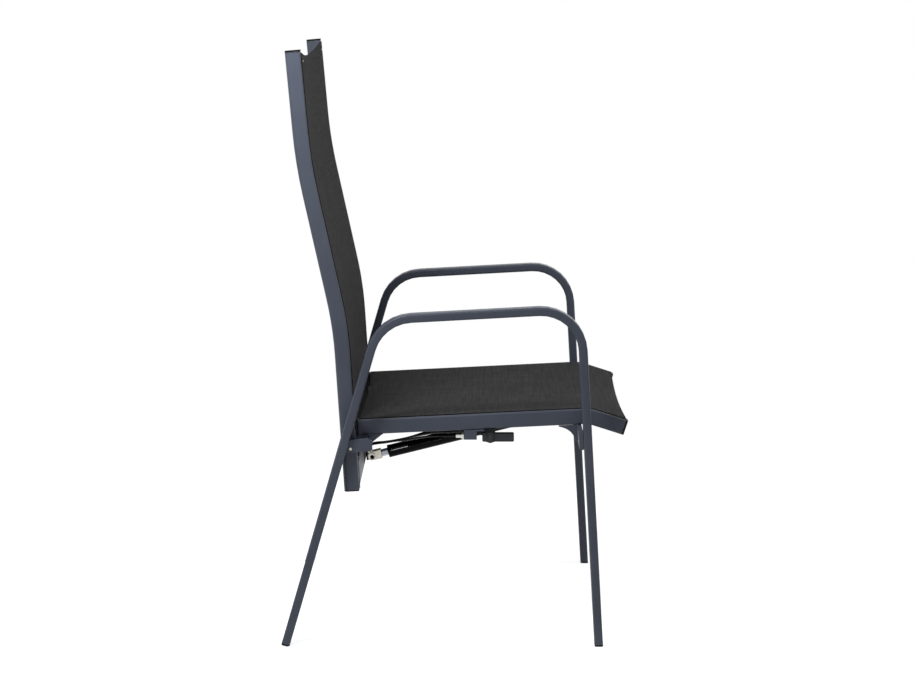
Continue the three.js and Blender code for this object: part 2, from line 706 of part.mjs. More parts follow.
function makeFrontBarCap(name, side) {
  const cover = prism(roundedBox(frontBar.deep, frontBar.high, frontBar.corner), gap, frontBar.cap);
  const hollowWide = frontBar.deep - 2 * frontBar.wall - 2 * gap;
  const hollowHigh = frontBar.high - 2 * frontBar.wall - 2 * gap;
  const plug = prism(roundedBox(hollowWide, hollowHigh, frontBar.innerCorner), -frontBar.plug, frontBar.cap);
  const upright = new THREE.Matrix4().makeBasis(
    new THREE.Vector3(0, 1, 0), new THREE.Vector3(0, 0, 1), new THREE.Vector3(1, 0, 0),
  );
  const cap = join(cover, plug).applyMatrix4(upright);
  if (side < 0) cap.rotateZ(Math.PI);
  cap.rotateX(-frontLegLean);
  const at = frontBarPlace().setX(side * (halfWidth - frontBar.endInset));
  place(`front_bar_cap_${name}`, cap, greyPlastic, at.toArray());
}

function makeFrontGusset(name, side) {
  const bar = frontBarPlace();
  const faceY = (z) => bar.y + (frontBar.deep / 2 + gap) / Math.cos(frontLegLean)
    + (z - bar.z) * Math.tan(frontLegLean);
  const top = (y) => seatRailBottomZ(y) - gap;
  const cornerY = faceY(bar.z + frontBar.high / 2);
  const rearY = cornerY + frontGusset.reach;
  const lowZ = top(cornerY) - frontGusset.drop;
  const outline = new THREE.Shape();
  outline.moveTo(faceY(top(cornerY)), top(cornerY));
  outline.lineTo(faceY(lowZ), lowZ);
  outline.lineTo(faceY(lowZ) + frontGusset.toe, lowZ);
  outline.quadraticCurveTo(
    faceY(lowZ) + frontGusset.toe * 2, top(cornerY) - frontGusset.foot * 2,
    rearY, top(rearY) - frontGusset.foot / 2,
  );
  outline.lineTo(rearY, top(rearY));
  outline.closePath();
  const outer = side * (seatRailOuterX - frontGusset.inset);
  const inner = outer - side * frontGusset.thick;
  place(`front_gusset_${name}`, plateX(outline, inner, outer, 12), paint);
}

// Gas spring. Its own axis runs from the fork pin, at 0, forward to the anchor pin.

const springAxis = new THREE.Vector3(0, anchor.y - forkPin.y, anchor.z - forkPin.z);
const springLength = springAxis.length();
const springTilt = Math.atan2(anchor.z - forkPin.z, forkPin.y - anchor.y);
const springGroup = new THREE.Group();
springGroup.position.set(0, forkPin.y, forkPin.z);
springGroup.rotation.x = -springTilt;
chair.add(springGroup);

// A turned piece around the spring's axis: profile points are [radius, distance from the fork pin].
function turnedOnSpring(profile, segments = 24) {
  const points = profile.map(([radius, along]) => new THREE.Vector2(radius, -along));
  return new THREE.LatheGeometry(points.reverse(), segments);
}

function makeFork() {
  const half = fork.wide / 2;
  const outline = new THREE.Shape();
  outline.moveTo(0, fork.radius);
  outline.absarc(0, 0, fork.radius, Math.PI / 2, -Math.PI / 2, true);
  outline.lineTo(-fork.bodyEnd, -fork.radius);
  outline.lineTo(-fork.bodyEnd, fork.radius);
  outline.closePath();
  const block = plateX(outline, -half, half);
  const slotHalf = tongue.thick / 2 + fork.slotSide;
  const slotLong = fork.slotEnd + fork.radius + overrun;
  const slot = box(
    [2 * slotHalf, slotLong, 2 * (fork.radius + overrun)],
    [0, -fork.slotEnd + slotLong / 2, 0],
  );
  const hole = cylinderX(forkPin.radius + fork.play, -half - overrun, half + overrun, 0, 0, 24);
  const stopHigh = cableStop.top - fork.neck;
  const stop = box(
    [cableStop.wide, cableStop.thick, stopHigh],
    [0, -cableStop.along - cableStop.thick / 2, fork.neck + stopHigh / 2],
  );
  const ears = sides.map(([, side]) => {
    const earOutline = new THREE.Shape();
    const { pivotLift, earRound } = releaseLever;
    const along = -releaseLever.along - releaseLever.thick / 2;
    earOutline.moveTo(along + earRound, fork.neck);
    earOutline.lineTo(along + earRound, pivotLift);
    earOutline.absarc(along, pivotLift, earRound, 0, Math.PI, false);
    earOutline.lineTo(along - earRound, fork.neck);
    earOutline.closePath();
    const earInner = releaseLever.wide / 2 + gap;
    return plateX(earOutline, side * earInner, side * (earInner + releaseLever.earWide), 6);
  });
  const pinHole = cylinderX(
    releaseLever.pin + gap, -half - overrun, half + overrun,
    -releaseLever.along - releaseLever.thick / 2, releaseLever.pivotLift, 16,
  );
  const cableHoles = sides.map(([, side]) => new THREE.CylinderGeometry(
    cableStop.holeRadius, cableStop.holeRadius, cableStop.thick + 2 * overrun, 16,
  ).translate(side * cableStop.holeX, -cableStop.along - cableStop.thick / 2, cableStop.holeLift));
  const whole = join(block, stop, ...ears);
  place("spring_fork", cut(whole, slot, hole, pinHole, ...cableHoles), zinc, [0, 0, 0], springGroup);
}

function makeRod() {
  const start = fork.bodyEnd + gap;
  const end = spring.cylinderStart + spring.rod * 8;
  const rod = turnedOnSpring([[0, start], [spring.rod, start], [spring.rod, end], [0, end]]);
  place("gas_spring_rod", rod, steel, [0, 0, 0], springGroup);
}

function makeLockNut() {
  const { start, long, radius, bore } = lockNut;
  const middle = -start - long / 2;
  const hexagon = new THREE.CylinderGeometry(radius, radius, long, 6).translate(0, middle, 0);
  const hole = new THREE.CylinderGeometry(bore, bore, long + 2 * overrun, 24).translate(0, middle, 0);
  place("lock_nut", cut(hexagon, hole), steel, [0, 0, 0], springGroup);
}

function makeCylinder() {
  const { rod, cylinder, cylinderStart, cylinderEnd, wallRound, neck, collar: ring, collarLong, bore } = spring;
  const eyeStart = springLength - anchor.eye / 2;
  const boreEnd = cylinderEnd - anchor.eye;
  const tube = turnedOnSpring([
    [rod + gap, cylinderStart], [cylinder - wallRound, cylinderStart], [cylinder, cylinderStart + wallRound],
    [cylinder, cylinderEnd - wallRound], [cylinder - wallRound, cylinderEnd],
    [ring, cylinderEnd], [ring, cylinderEnd + collarLong], [neck, cylinderEnd + collarLong],
    [neck, eyeStart], [0, eyeStart], [0, boreEnd], [cylinder - bore / 2, boreEnd],
    [cylinder - bore / 2, cylinderStart + anchor.eye], [rod + gap, cylinderStart + anchor.eye],
    [rod + gap, cylinderStart],
  ]);
  const eye = cylinderX(anchor.eye, -anchor.eyeWide / 2, anchor.eyeWide / 2, -springLength, 0, 24);
  const hole = cylinderX(
    anchor.pin + gap, -anchor.eyeWide, anchor.eyeWide, -springLength, 0,
  );
  place("gas_spring_cylinder", cut(join(tube, eye), hole), blackSteel, [0, 0, 0], springGroup);
}

// A half-open shell that travels with the rod and keeps dirt off it. It is open upwards and to the right.
function makeGuard() {
  const { start, end, outer, inner, wall, openStart, openEnd, rimLift, farWall } = guard;
  const shell = turnedOnSpring([
    [lockNut.bore, start], [outer, start], [outer, end], [inner, end], [inner, start + wall],
    [lockNut.bore, start + wall], [lockNut.bore, start],
  ], 28);
  const openWide = outer + overrun + farWall;
  const open = box(
    [openWide, openEnd - openStart, 2 * outer],
    [farWall - openWide / 2, -(openStart + openEnd) / 2, outer + rimLift],
  );
  place("spring_guard", cut(shell, open), blackPlastic, [0, 0, 0], springGroup);
}

// The tongue on the lower back bar that the fork straddles, and its pin.
function makeTongue() {
  const [barY, barZ] = lowerBarCentre();
  const face = barY - (lowerBar.deep / 2 + gap) / Math.cos(lowerLean);
  const faceAt = (z) => face + (z - barZ) * Math.tan(lowerLean);
  const root = tongue.rootHigh / 2;
  const outline = new THREE.Shape();
  outline.moveTo(faceAt(forkPin.z + root), forkPin.z + root);
  outline.lineTo(forkPin.y + tongue.straight, forkPin.z + tongue.radius);
  outline.lineTo(forkPin.y, forkPin.z + tongue.radius);
  outline.absarc(forkPin.y, forkPin.z, tongue.radius, Math.PI / 2, Math.PI * 1.5, false);
  outline.lineTo(forkPin.y + tongue.straight, forkPin.z - tongue.radius);
  outline.lineTo(faceAt(forkPin.z - root), forkPin.z - root);
  outline.closePath();
  const lug = plateX(outline, -tongue.thick / 2, tongue.thick / 2);
  const hole = cylinderX(forkPin.radius + gap, -tongue.thick, tongue.thick, forkPin.y, forkPin.z, 24);
  place("back_tongue", cut(lug, hole), blackSteel);
}

function makeForkPin() {
  const half = fork.wide / 2 + gap;
  const end = half + forkPin.headThick;
  const hollowEnd = end - forkPin.hollowDeep;
  const pin = turnedX([
    [0, -hollowEnd], [forkPin.hollow, -hollowEnd], [forkPin.hollow, -end], [forkPin.head, -end],
    [forkPin.head, -half], [forkPin.radius, -half], [forkPin.radius, half], [forkPin.head, half],
    [forkPin.head, end], [forkPin.hollow, end], [forkPin.hollow, hollowEnd], [0, hollowEnd],
  ]);
  place("fork_pin", pin, steel, [0, forkPin.y, forkPin.z]);
}

// The clevis on the front bar that holds the spring's front eye, and its pin.
function makeAnchor() {
  const bar = frontBarPlace();
  const faceY = (z) => bar.y + (frontBar.deep / 2 + gap) / Math.cos(frontLegLean)
    + (z - bar.z) * Math.tan(frontLegLean);
  const high = anchor.eye;
  const outline = new THREE.Shape();
  outline.moveTo(faceY(anchor.z + high), anchor.z + high);
  outline.lineTo(anchor.y, anchor.z + high);
  outline.absarc(anchor.y, anchor.z, high, Math.PI / 2, -Math.PI / 2, true);
  outline.lineTo(faceY(anchor.z - high), anchor.z - high);
  outline.closePath();
  const half = anchor.eyeWide / 2 + anchor.earSide + anchor.earThick;
  const block = plateX(outline, -half, half);
  const slotHalf = anchor.eyeWide / 2 + anchor.earSide;
  const webY = faceY(anchor.z) + anchor.earThick;
  const slotLong = anchor.y + high + overrun - webY;
  const slot = box([2 * slotHalf, slotLong, 2 * (high + overrun)], [0, webY + slotLong / 2, anchor.z]);
  const hole = cylinderX(anchor.pin + gap, -half - overrun, half + overrun, anchor.y, anchor.z, 24);
  place("spring_anchor", cut(block, slot, hole), blackSteel);

  const pinHalf = half + gap;
  const pin = turnedX([
    [0, -pinHalf - forkPin.headThick], [anchor.head, -pinHalf - forkPin.headThick], [anchor.head, -pinHalf],
    [anchor.pin, -pinHalf], [anchor.pin, pinHalf], [anchor.head, pinHalf],
    [anchor.head, pinHalf + forkPin.headThick], [0, pinHalf + forkPin.headThick],
  ]);
  place("anchor_pin", pin, steel, [0, anchor.y, anchor.z]);
}

// Hand lever under the right seat rail: bracket, handle, bolt, ribbed collar, cable adjuster

const leverX = -seatRailX;

function makeLeverBracket() {
  const plateTop = (y) => seatRailBottomZ(y) - gap;
  const top = outlineOf([
    [leverBracket.rearY, plateTop(leverBracket.rearY)], [leverBracket.frontY, plateTop(leverBracket.frontY)],
    [leverBracket.frontY, plateTop(leverBracket.rearY) - leverBracket.plate],
    [leverBracket.rearY, plateTop(leverBracket.rearY) - leverBracket.plate],
  ]);
  const half = leverBracket.wide / 2;
  const plate = plateX(top, leverX - half, leverX + half);
  const boxHigh = plateTop(leverBracket.rearY) - leverBracket.low;
  const long = leverBracket.rearY - leverBracket.boxFrontY;
  const middleY = (leverBracket.rearY + leverBracket.boxFrontY) / 2;
  const block = box(
    [leverBracket.wide, long, boxHigh - leverBracket.plate / 2],
    [leverX, middleY, leverBracket.low + (boxHigh - leverBracket.plate / 2) / 2],
  );
  const hollow = box(
    [leverBracket.wide - 2 * leverBracket.wall, long, boxHigh],
    [leverX, middleY - leverBracket.wall, leverBracket.low - leverBracket.plate + boxHigh / 2],
  );
  const boltHole = new THREE.CylinderGeometry(
    leverBolt.shank + gap, leverBolt.shank + gap, leverBracket.plate + 2 * overrun, 18,
  ).rotateX(Math.PI / 2).translate(leverX, handle.y, plateTop(handle.y) - leverBracket.plate);
  const cableHole = new THREE.CylinderGeometry(
    adjuster.radius + gap, adjuster.radius + gap, leverBracket.wall + 2 * overrun, 18,
  ).translate(leverX, leverBracket.rearY, adjuster.z);
  const body = cut(join(plate, block), hollow);
  place("lever_bracket", cut(body, boltHole, cableHole), paint);
}

function turnedZ(profile, segments = 20) {
  const points = profile.map(([radius, z]) => new THREE.Vector2(radius, z));
  return new THREE.LatheGeometry(points, segments).rotateX(Math.PI / 2);
}

function makeHandle() {
  const hubHigh = handle.hubHigh - handle.hubLow;
  const hub = new THREE.CylinderGeometry(handle.hub, handle.hub, hubHigh, 24)
    .rotateX(Math.PI / 2).translate(leverX, handle.y, handle.hubLow + hubHigh / 2);
  const gripHigh = handle.gripHigh - handle.gripLow;
  const gripLong = handle.gripRearY - handle.gripEndY;
  const grip = plateX(
    roundedBox(gripLong, gripHigh, handle.round), -handle.gripThick / 2, handle.gripThick / 2, 4,
  ).translate(leverX, handle.gripRearY - gripLong / 2, handle.gripLow + gripHigh / 2);
  const armHigh = handle.armHigh - handle.armLow;
  const arm = box(
    [handle.armReach, handle.armWide, armHigh],
    [leverX + handle.armReach / 2, handle.y + handle.armWide / 2, handle.armLow + armHigh / 2],
  );
  const bore = new THREE.CylinderGeometry(
    leverBolt.shank + gap, leverBolt.shank + gap, hubHigh + 2 * overrun, 20,
  ).rotateX(Math.PI / 2).translate(leverX, handle.y, handle.hubLow + hubHigh / 2);
  place("release_handle", cut(join(hub, grip, arm), bore), blackPlastic);
}

function makeLeverBolt() {
  const headTop = handle.hubLow - leverBolt.headGap;
  const top = seatRailBottomZ(leverBracket.rearY) - gap;
  const bolt = turnedZ([
    [0, headTop - leverBolt.headThick], [leverBolt.head / 2, headTop - leverBolt.headThick],
    [leverBolt.head, headTop - leverBolt.headThick / 2], [leverBolt.head, headTop],
    [leverBolt.shank, headTop], [leverBolt.shank, top], [0, top],
  ]);
  place("lever_bolt", bolt, blackSteel, [leverX, handle.y, 0]);
}

// A ribbed collar above the handle, in one piece with the block behind it
function makeCollar() {
  const low = handle.hubHigh + gap;
  const high = seatRailBottomZ(leverBracket.rearY) - gap - leverBracket.plate - gap;
  const pitch = (high - low) / (2 * collar.ribs);
  const profile = [[leverBolt.shank + gap, low]];
  for (let i = 0; i < collar.ribs; i += 1) {
    const base = low + 2 * pitch * i;
    profile.push([collar.rib, base], [collar.rib, base + pitch]);
    profile.push([collar.radius, base + pitch], [collar.radius, base + 2 * pitch]);
  }
  profile.push([leverBolt.shank + gap, high], [leverBolt.shank + gap, low]);
  const ring = turnedZ(profile, 16).translate(leverX, handle.y, 0);
  const bridgeFrontY = handle.y + (collar.radius + leverBolt.shank) / 2;
  const part = (frontY, lowZ) => box(
    [collar.wide, collar.blockRearY - frontY, high - lowZ],
    [leverX, (collar.blockRearY + frontY) / 2, (high + lowZ) / 2],
  );
  const bridge = part(bridgeFrontY, low + pitch);
  place("lever_collar", join(ring, bridge, part(collar.blockFrontY, collar.blockLow)), blackPlastic);
}

function makeAdjuster() {
  const rear = leverBracket.rearY;
  const front = rear - leverBracket.wall - adjuster.bodyStart;
  const nutFrom = rear + gap;
  const end = rear + adjuster.long;
  const profile = [
    [adjuster.bore, front], [adjuster.radius, front], [adjuster.radius, nutFrom], [adjuster.nut, nutFrom],
    [adjuster.nut, nutFrom + adjuster.nutLong], [adjuster.radius, nutFrom + adjuster.nutLong],
    [adjuster.radius, end], [adjuster.bore, end], [adjuster.bore, front],
  ].map(([radius, along]) => new THREE.Vector2(radius, along));
  const body = new THREE.LatheGeometry(profile, 18);
  place("cable_adjuster", body, zinc, [leverX, 0, adjuster.z]);
}

// The upright lever between the fork's ears, which the cables pull, with its own pin
function makeReleaseLever() {
  const { along, thick, wide, low, top, pivotLift, pin, earWide } = releaseLever;
  const middle = -along - thick / 2;
  const plate = box([wide, thick, top - low], [0, middle, (low + top) / 2]);
  const half = wide / 2 + gap + earWide + gap;
  const shaft = cylinderX(pin, -half, half, middle, pivotLift, 16);
  place("release_lever", join(plate, shaft), blackSteel, [0, 0, 0], springGroup);
}

function makeCable(name, route, shares, fromX, toX) {
  const points = route.map(([y, z], i) => new THREE.Vector3(fromX + (toX - fromX) * shares[i], y, z));
  const extrudePath = new THREE.CatmullRomCurve3(points);
  const section = new THREE.Shape();
  section.absarc(0, 0, cable.radius, 0, 2 * Math.PI, false);
  const tube = new THREE.ExtrudeGeometry(section, {
    extrudePath, steps: cable.steps, curveSegments: cable.sides, bevelEnabled: false,
  });
  place(name, tube, blackPlastic);
}

// Assembly

for (const [name, side] of sides) {
  makeSideFrame(name, side);
  makeFoot(name, side, "rear");
  makeFoot(name, side, "front");
  makeSeatRail(name, side);
  makeSeatCaps(name, side);
  makeSeatSpline(name, side);
  makeBackRail(name, side);
  makeBackCaps(name, side);
  makeBackSpline(name, side);
  makePivot(name, side);
  makeRearPlate(name, side);
  makeRearGusset(name, side);
  makeFrontBarCap(name, side);
  makeFrontGusset(name, side);
}
makeSeatSling();
makeBackSling();
makeUpperBar();
makeLowerBar();
makeRearTube();
makeFrontBar();
makeTongue();
makeForkPin();
makeFork();
makeRod();
makeLockNut();
makeCylinder();
makeGuard();
makeAnchor();
makeLeverBracket();
makeHandle();
makeLeverBolt();
makeCollar();
makeAdjuster();
makeReleaseLever();
makeCable("release_cable", releaseRoute, releaseShares, -cableStop.holeX, leverX);
makeCable("return_cable", returnRoute, returnShares, cableStop.holeX, leverX + returnInset);

// The origin is the middle of the chair's footprint, on the floor.
const bounds = new THREE.Box3().setFromObject(chair);
chair.position.y = -(bounds.min.y + bounds.max.y) / 2;

export default chair;
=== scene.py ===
import json
import math
import bpy
from mathutils import Matrix, Vector


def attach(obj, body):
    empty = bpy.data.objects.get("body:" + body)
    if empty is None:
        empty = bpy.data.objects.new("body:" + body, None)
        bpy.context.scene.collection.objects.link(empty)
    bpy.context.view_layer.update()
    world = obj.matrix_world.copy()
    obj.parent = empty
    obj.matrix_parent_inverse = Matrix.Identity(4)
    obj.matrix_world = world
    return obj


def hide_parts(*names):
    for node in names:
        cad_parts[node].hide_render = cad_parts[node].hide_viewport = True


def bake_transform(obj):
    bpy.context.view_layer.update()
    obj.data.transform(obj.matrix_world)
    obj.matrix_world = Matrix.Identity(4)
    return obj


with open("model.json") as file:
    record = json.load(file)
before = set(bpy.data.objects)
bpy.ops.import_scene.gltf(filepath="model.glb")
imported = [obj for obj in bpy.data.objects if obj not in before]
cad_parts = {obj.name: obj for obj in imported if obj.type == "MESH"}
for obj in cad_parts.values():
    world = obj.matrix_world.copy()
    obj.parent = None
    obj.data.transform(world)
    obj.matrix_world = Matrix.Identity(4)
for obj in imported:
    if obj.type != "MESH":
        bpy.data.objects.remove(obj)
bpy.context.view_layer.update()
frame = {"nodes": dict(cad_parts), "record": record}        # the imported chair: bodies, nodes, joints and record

mm = 0.001
shiftY = -0.03928        # from the side profile's own zero to the middle of the footprint

bodyOf = {node: body for body, nodes in frame["record"]["behaviour"]["bodies"].items() for node in nodes}


# Small tools

def deselectAll():
    if bpy.context.object and bpy.context.object.mode != "OBJECT":
        bpy.ops.object.mode_set(mode="OBJECT")
    bpy.ops.object.select_all(action="DESELECT")


def activate(obj):
    deselectAll()
    obj.select_set(True)
    bpy.context.view_layer.objects.active = obj


def editAll(obj):
    activate(obj)
    bpy.ops.object.mode_set(mode="EDIT")
    bpy.ops.mesh.select_all(action="SELECT")


def leaveEdit():
    bpy.ops.object.mode_set(mode="OBJECT")


def bakePlace(obj):
    activate(obj)
    bpy.ops.object.transform_apply(location=True, rotation=True, scale=True)
    return obj


def smoothByAngle(obj, degrees=35):
    activate(obj)
    bpy.ops.object.shade_smooth_by_angle(angle=math.radians(degrees))


def addModifier(obj, kind, **settings):
    activate(obj)
    bpy.ops.object.modifier_add(type=kind)
    modifier = obj.modifiers[-1]
    for key, value in settings.items():
        setattr(modifier, key, value)
    bpy.ops.object.modifier_apply(modifier=modifier.name)


def setMaterial(obj, material):
    obj.data.materials.clear()
    obj.data.materials.append(material)


def finishPiece(obj, name, material, body, slot, *nodes):
    obj.name = name
    obj.data.name = name
    if material:
        setMaterial(obj, material)
    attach(obj, body)
    if nodes:
        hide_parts(*nodes)
    return obj


def meshObject(name, vertices, faces):
    mesh = bpy.data.meshes.new(name)
    mesh.from_pydata([tuple(v) for v in vertices], [], faces)
    mesh.update()
    obj = bpy.data.objects.new(name, mesh)
    bpy.context.scene.collection.objects.link(obj)
    return obj


# Materials

def toLinear(value):
    value /= 255
    return value / 12.92 if value <= 0.04045 else ((value + 0.055) / 1.055) ** 2.4


def linearColor(color):
    return (*[toLinear(c) for c in color], 1)


def newMaterial(name, color, roughness, metallic=0.0, specular=0.5):
    material = bpy.data.materials.new(name)
    material.use_nodes = True
    shader = material.node_tree.nodes["Principled BSDF"]
    shader.inputs["Base Color"].default_value = linearColor(color)
    shader.inputs["Roughness"].default_value = roughness
    shader.inputs["Metallic"].default_value = metallic
    shader.inputs["Specular IOR Level"].default_value = specular
    return material, shader


def addNode(material, kind, **values):
    node = material.node_tree.nodes.new(kind)
    for key, value in values.items():
        if key in node.inputs:
            node.inputs[key].default_value = value
        else:
            setattr(node, key, value)
    return node


def wire(material, source, target):
    material.node_tree.links.new(source, target)


def feed(material, value, socket):
    if isinstance(value, (int, float, tuple)):
        socket.default_value = value
    else:
        wire(material, value, socket)


def mathNode(material, operation, first, second=None):
    node = addNode(material, "ShaderNodeMath", operation=operation)
    feed(material, first, node.inputs[0])
    if second is not None:
        feed(material, second, node.inputs[1])
    return node.outputs[0]


def mixColors(material, factor, first, second, blend="MIX"):
    node = addNode(material, "ShaderNodeMix", data_type="RGBA", blend_type=blend)
    for key, value in (("Factor", factor), ("A", first), ("B", second)):
        feed(material, value, node.inputs[key])
    return node.outputs["Result"]


def objectPlace(material):
    return addNode(material, "ShaderNodeTexCoord").outputs["Object"]


def noiseAt(material, place, scale, detail=3.0, stretch=None):
    if stretch:
        mapping = addNode(material, "ShaderNodeMapping")
        mapping.inputs["Scale"].default_value = stretch
        wire(material, place, mapping.inputs["Vector"])
        place = mapping.outputs["Vector"]
    noise = addNode(material, "ShaderNodeTexNoise")
    noise.inputs["Scale"].default_value = scale
    noise.inputs["Detail"].default_value = detail
    wire(material, place, noise.inputs["Vector"])
    return noise.outputs["Fac"]


def ramp(material, fac, stops):
    node = addNode(material, "ShaderNodeValToRGB")
    elements = node.color_ramp.elements
    while len(elements) < len(stops):
        elements.new(0.5)
    for element, (position, color) in zip(elements, stops):
        element.position = position
        element.color = linearColor(color)
    wire(material, fac, node.inputs["Fac"])
    return node.outputs["Color"]


def addBump(material, shader, height, strength, distance):
    bump = addNode(material, "ShaderNodeBump", Strength=strength, Distance=distance)
    wire(material, height, bump.inputs["Height"])
    wire(material, bump.outputs["Normal"], shader.inputs["Normal"])


noiseSpan = (0.3, 0.7)   # most of a noise's values lie between these


def rangeOf(material, fac, low, high):
    node = addNode(material, "ShaderNodeMapRange")
    wire(material, fac, node.inputs["Value"])
    node.inputs["From Min"].default_value, node.inputs["From Max"].default_value = noiseSpan
    node.inputs["To Min"].default_value = low
    node.inputs["To Max"].default_value = high
    return node.outputs["Result"]


paintLook = {
    "color": (76, 82, 96), "spread": 5, "cloudScale": 9, "specular": 0.3,
    "roughness": 0.42, "roughScale": 60, "smoother": 0.05, "rougher": 0.07,
    "peelScale": 700, "peelDepth": 0.00006, "peel": 0.35,
}


def paintMaterial(name, look):
    material, shader = newMaterial(name, look["color"], look["roughness"], specular=look["specular"])
    place = objectPlace(material)
    cloudy = noiseAt(material, place, look["cloudScale"], 4)
    spread = look["spread"]
    dark = tuple(c - spread for c in look["color"])
    light = tuple(c + spread for c in look["color"])
    wire(material, ramp(material, cloudy, [(noiseSpan[0], dark), (noiseSpan[1], light)]),
         shader.inputs["Base Color"])
    peel = noiseAt(material, place, look["peelScale"], 2)
    addBump(material, shader, peel, look["peel"], look["peelDepth"])
    rough = noiseAt(material, place, look["roughScale"], 3)
    wire(material, rangeOf(material, rough, look["roughness"] - look["smoother"],
                           look["roughness"] + look["rougher"]), shader.inputs["Roughness"])
    return material


plasticLook = {
    "toneScale": 40, "darker": 3, "lighter": 4, "from": 0.35, "to": 0.7, "bump": 0.4, "roughSpread": 0.06,
}


def plasticMaterial(name, color, roughness, grain=900, depth=0.00005, specular=0.35):
    material, shader = newMaterial(name, color, roughness, specular=specular)
    place = objectPlace(material)
    tone = noiseAt(material, place, plasticLook["toneScale"], 3)
    dark = tuple(max(0, c - plasticLook["darker"]) for c in color)
    light = tuple(c + plasticLook["lighter"] for c in color)
    wire(material, ramp(material, tone, [(plasticLook["from"], dark), (plasticLook["to"], light)]),
         shader.inputs["Base Color"])
    addBump(material, shader, noiseAt(material, place, grain, 2), plasticLook["bump"], depth)
    spread = plasticLook["roughSpread"]
    wire(material, rangeOf(material, tone, roughness - spread, roughness + spread),
         shader.inputs["Roughness"])
    return material


metalLook = {
    "toneScale": 90, "darker": 22, "from": 0.3, "to": 0.65, "roughScale": 300, "smoother": 0.08,
    "rougher": 0.12, "brushScale": 600, "bump": 0.2, "depth": 0.00004,
}


def metalMaterial(name, color, roughness, stretch, metallic):
    material, shader = newMaterial(name, color, roughness, metallic=metallic)
    place = objectPlace(material)
    tone = noiseAt(material, place, metalLook["toneScale"], 4, stretch)
    dark = tuple(c - metalLook["darker"] for c in color)
    wire(material, ramp(material, tone, [(metalLook["from"], dark), (metalLook["to"], color)]),
         shader.inputs["Base Color"])
    rough = noiseAt(material, place, metalLook["roughScale"], 3, stretch)
    wire(material, rangeOf(material, rough, roughness - metalLook["smoother"],
                           roughness + metalLook["rougher"]), shader.inputs["Roughness"])
    brush = noiseAt(material, place, metalLook["brushScale"], 2, stretch)
    addBump(material, shader, brush, metalLook["bump"], metalLook["depth"])
    return material


slingLook = {
    "pitch": 0.0015, "warp": (97, 97, 97), "weft": (69, 69, 69), "deep": (39, 39, 39),
    "depth": 0.00035, "bump": 0.6, "roughness": 0.8, "specular": 0.03, "gapReach": 1.6,
    "fleck": (200, 200, 202), "fleckScale": 500, "fleckStretch": (1, 0.08, 1), "fleckShare": 0.5,
    "streak": (150, 150, 152), "streakScale": 220, "streakStretches": ((1, 0.05, 1), (0.05, 1, 1)),
    "streakShare": 0.35,
}


def slingMaterial(name, look):
    material, shader = newMaterial(name, look["warp"], look["roughness"], specular=look["specular"])
    weave = addNode(material, "ShaderNodeUVMap", uv_map="weave").outputs["UV"]
    split = addNode(material, "ShaderNodeSeparateXYZ")
    wire(material, weave, split.inputs["Vector"])

    def calc(operation, first, second=None):
        return mathNode(material, operation, first, second)

    def hump(threads):
        return calc("ABSOLUTE", calc("SINE", calc("MULTIPLY", threads, math.pi)))

    def darken(tone, dark, low, high, fac, share):
        shade = ramp(material, fac, [(low, dark), (high, (255, 255, 255))])
        return mixColors(material, share, tone, shade, "MULTIPLY")

    across = calc("MULTIPLY", split.outputs["X"], 1 / look["pitch"])
    along = calc("MULTIPLY", split.outputs["Y"], 1 / look["pitch"])
    # every second crossing the other thread lies on top; an even shift keeps the count positive
    crossing = calc("ADD", calc("FLOOR", across), calc("FLOOR", calc("ADD", along, 10000)))
    over = calc("GREATER_THAN", calc("ABSOLUTE", calc("MODULO", crossing, 2)), 0.5)
    warpTop = calc("MULTIPLY", hump(across), calc("ADD", calc("MULTIPLY", over, 0.5), 0.5))
    weftTop = calc("MULTIPLY", hump(along), calc("SUBTRACT", 1.0, calc("MULTIPLY", over, 0.5)))
    height = calc("MAXIMUM", warpTop, weftTop)
    thread = mixColors(material, calc("GREATER_THAN", warpTop, weftTop),
                       linearColor(look["weft"]), linearColor(look["warp"]))
    # painted shade: where the threads sink, at their edges and between them, the weave is painted the deep colour
    covered = calc("SMOOTH_MIN", calc("MULTIPLY", height, look["gapReach"]), 1.0)
    tone = mixColors(material, covered, linearColor(look["deep"]), thread)
    fleck = noiseAt(material, weave, look["fleckScale"], 2, look["fleckStretch"])
    tone = darken(tone, look["fleck"], 0.3, 0.7, fleck, look["fleckShare"])
    for stretch in look["streakStretches"]:
        streak = noiseAt(material, weave, look["streakScale"], 2, stretch)
        tone = darken(tone, look["streak"], 0.35, 0.65, streak, look["streakShare"])
    wire(material, tone, shader.inputs["Base Color"])
    addBump(material, shader, height, look["bump"], look["depth"])
    return material


framePaint = paintMaterial("powderCoat", paintLook)
slingCloth = slingMaterial("slingWeave", slingLook)
blackPlastic = plasticMaterial("blackPlastic", (14, 15, 16), 0.5, specular=0.15)
gripPlastic = plasticMaterial("gripPlastic", (44, 45, 50), 0.55, 1100, 0.00008)
greyPlastic = plasticMaterial("greyPlastic", (84, 88, 98), 0.6)
cableJacket = plasticMaterial("cableJacket", (8, 8, 9), 0.45, 500, specular=0.1)
blackSteel = plasticMaterial("blackSteel", (8, 8, 9), 0.36, 1500, 0.00003, 0.08)
guardPlastic = plasticMaterial("guardPlastic", (9, 9, 10), 0.34, 1500, 0.00003, 0.05)
rodChrome = metalMaterial("rodChrome", (247, 249, 255), 0.17, (1, 6, 6), 1.0)
paintedRimHighlight = plasticMaterial("paintedRimHighlight", (238, 240, 246), 0.5)
capPlastic = plasticMaterial("capPlastic", (7, 7, 8), 0.5, specular=0.06)
lipPlastic = plasticMaterial("lipPlastic", (112, 115, 124), 0.6, specular=0.1)
zincPlate = metalMaterial("zincPlate", (214, 210, 198), 0.4, (1, 1, 1), 0.8)
brightSteel = metalMaterial("brightSteel", (228, 233, 246), 0.34, (1, 6, 6), 0.25)
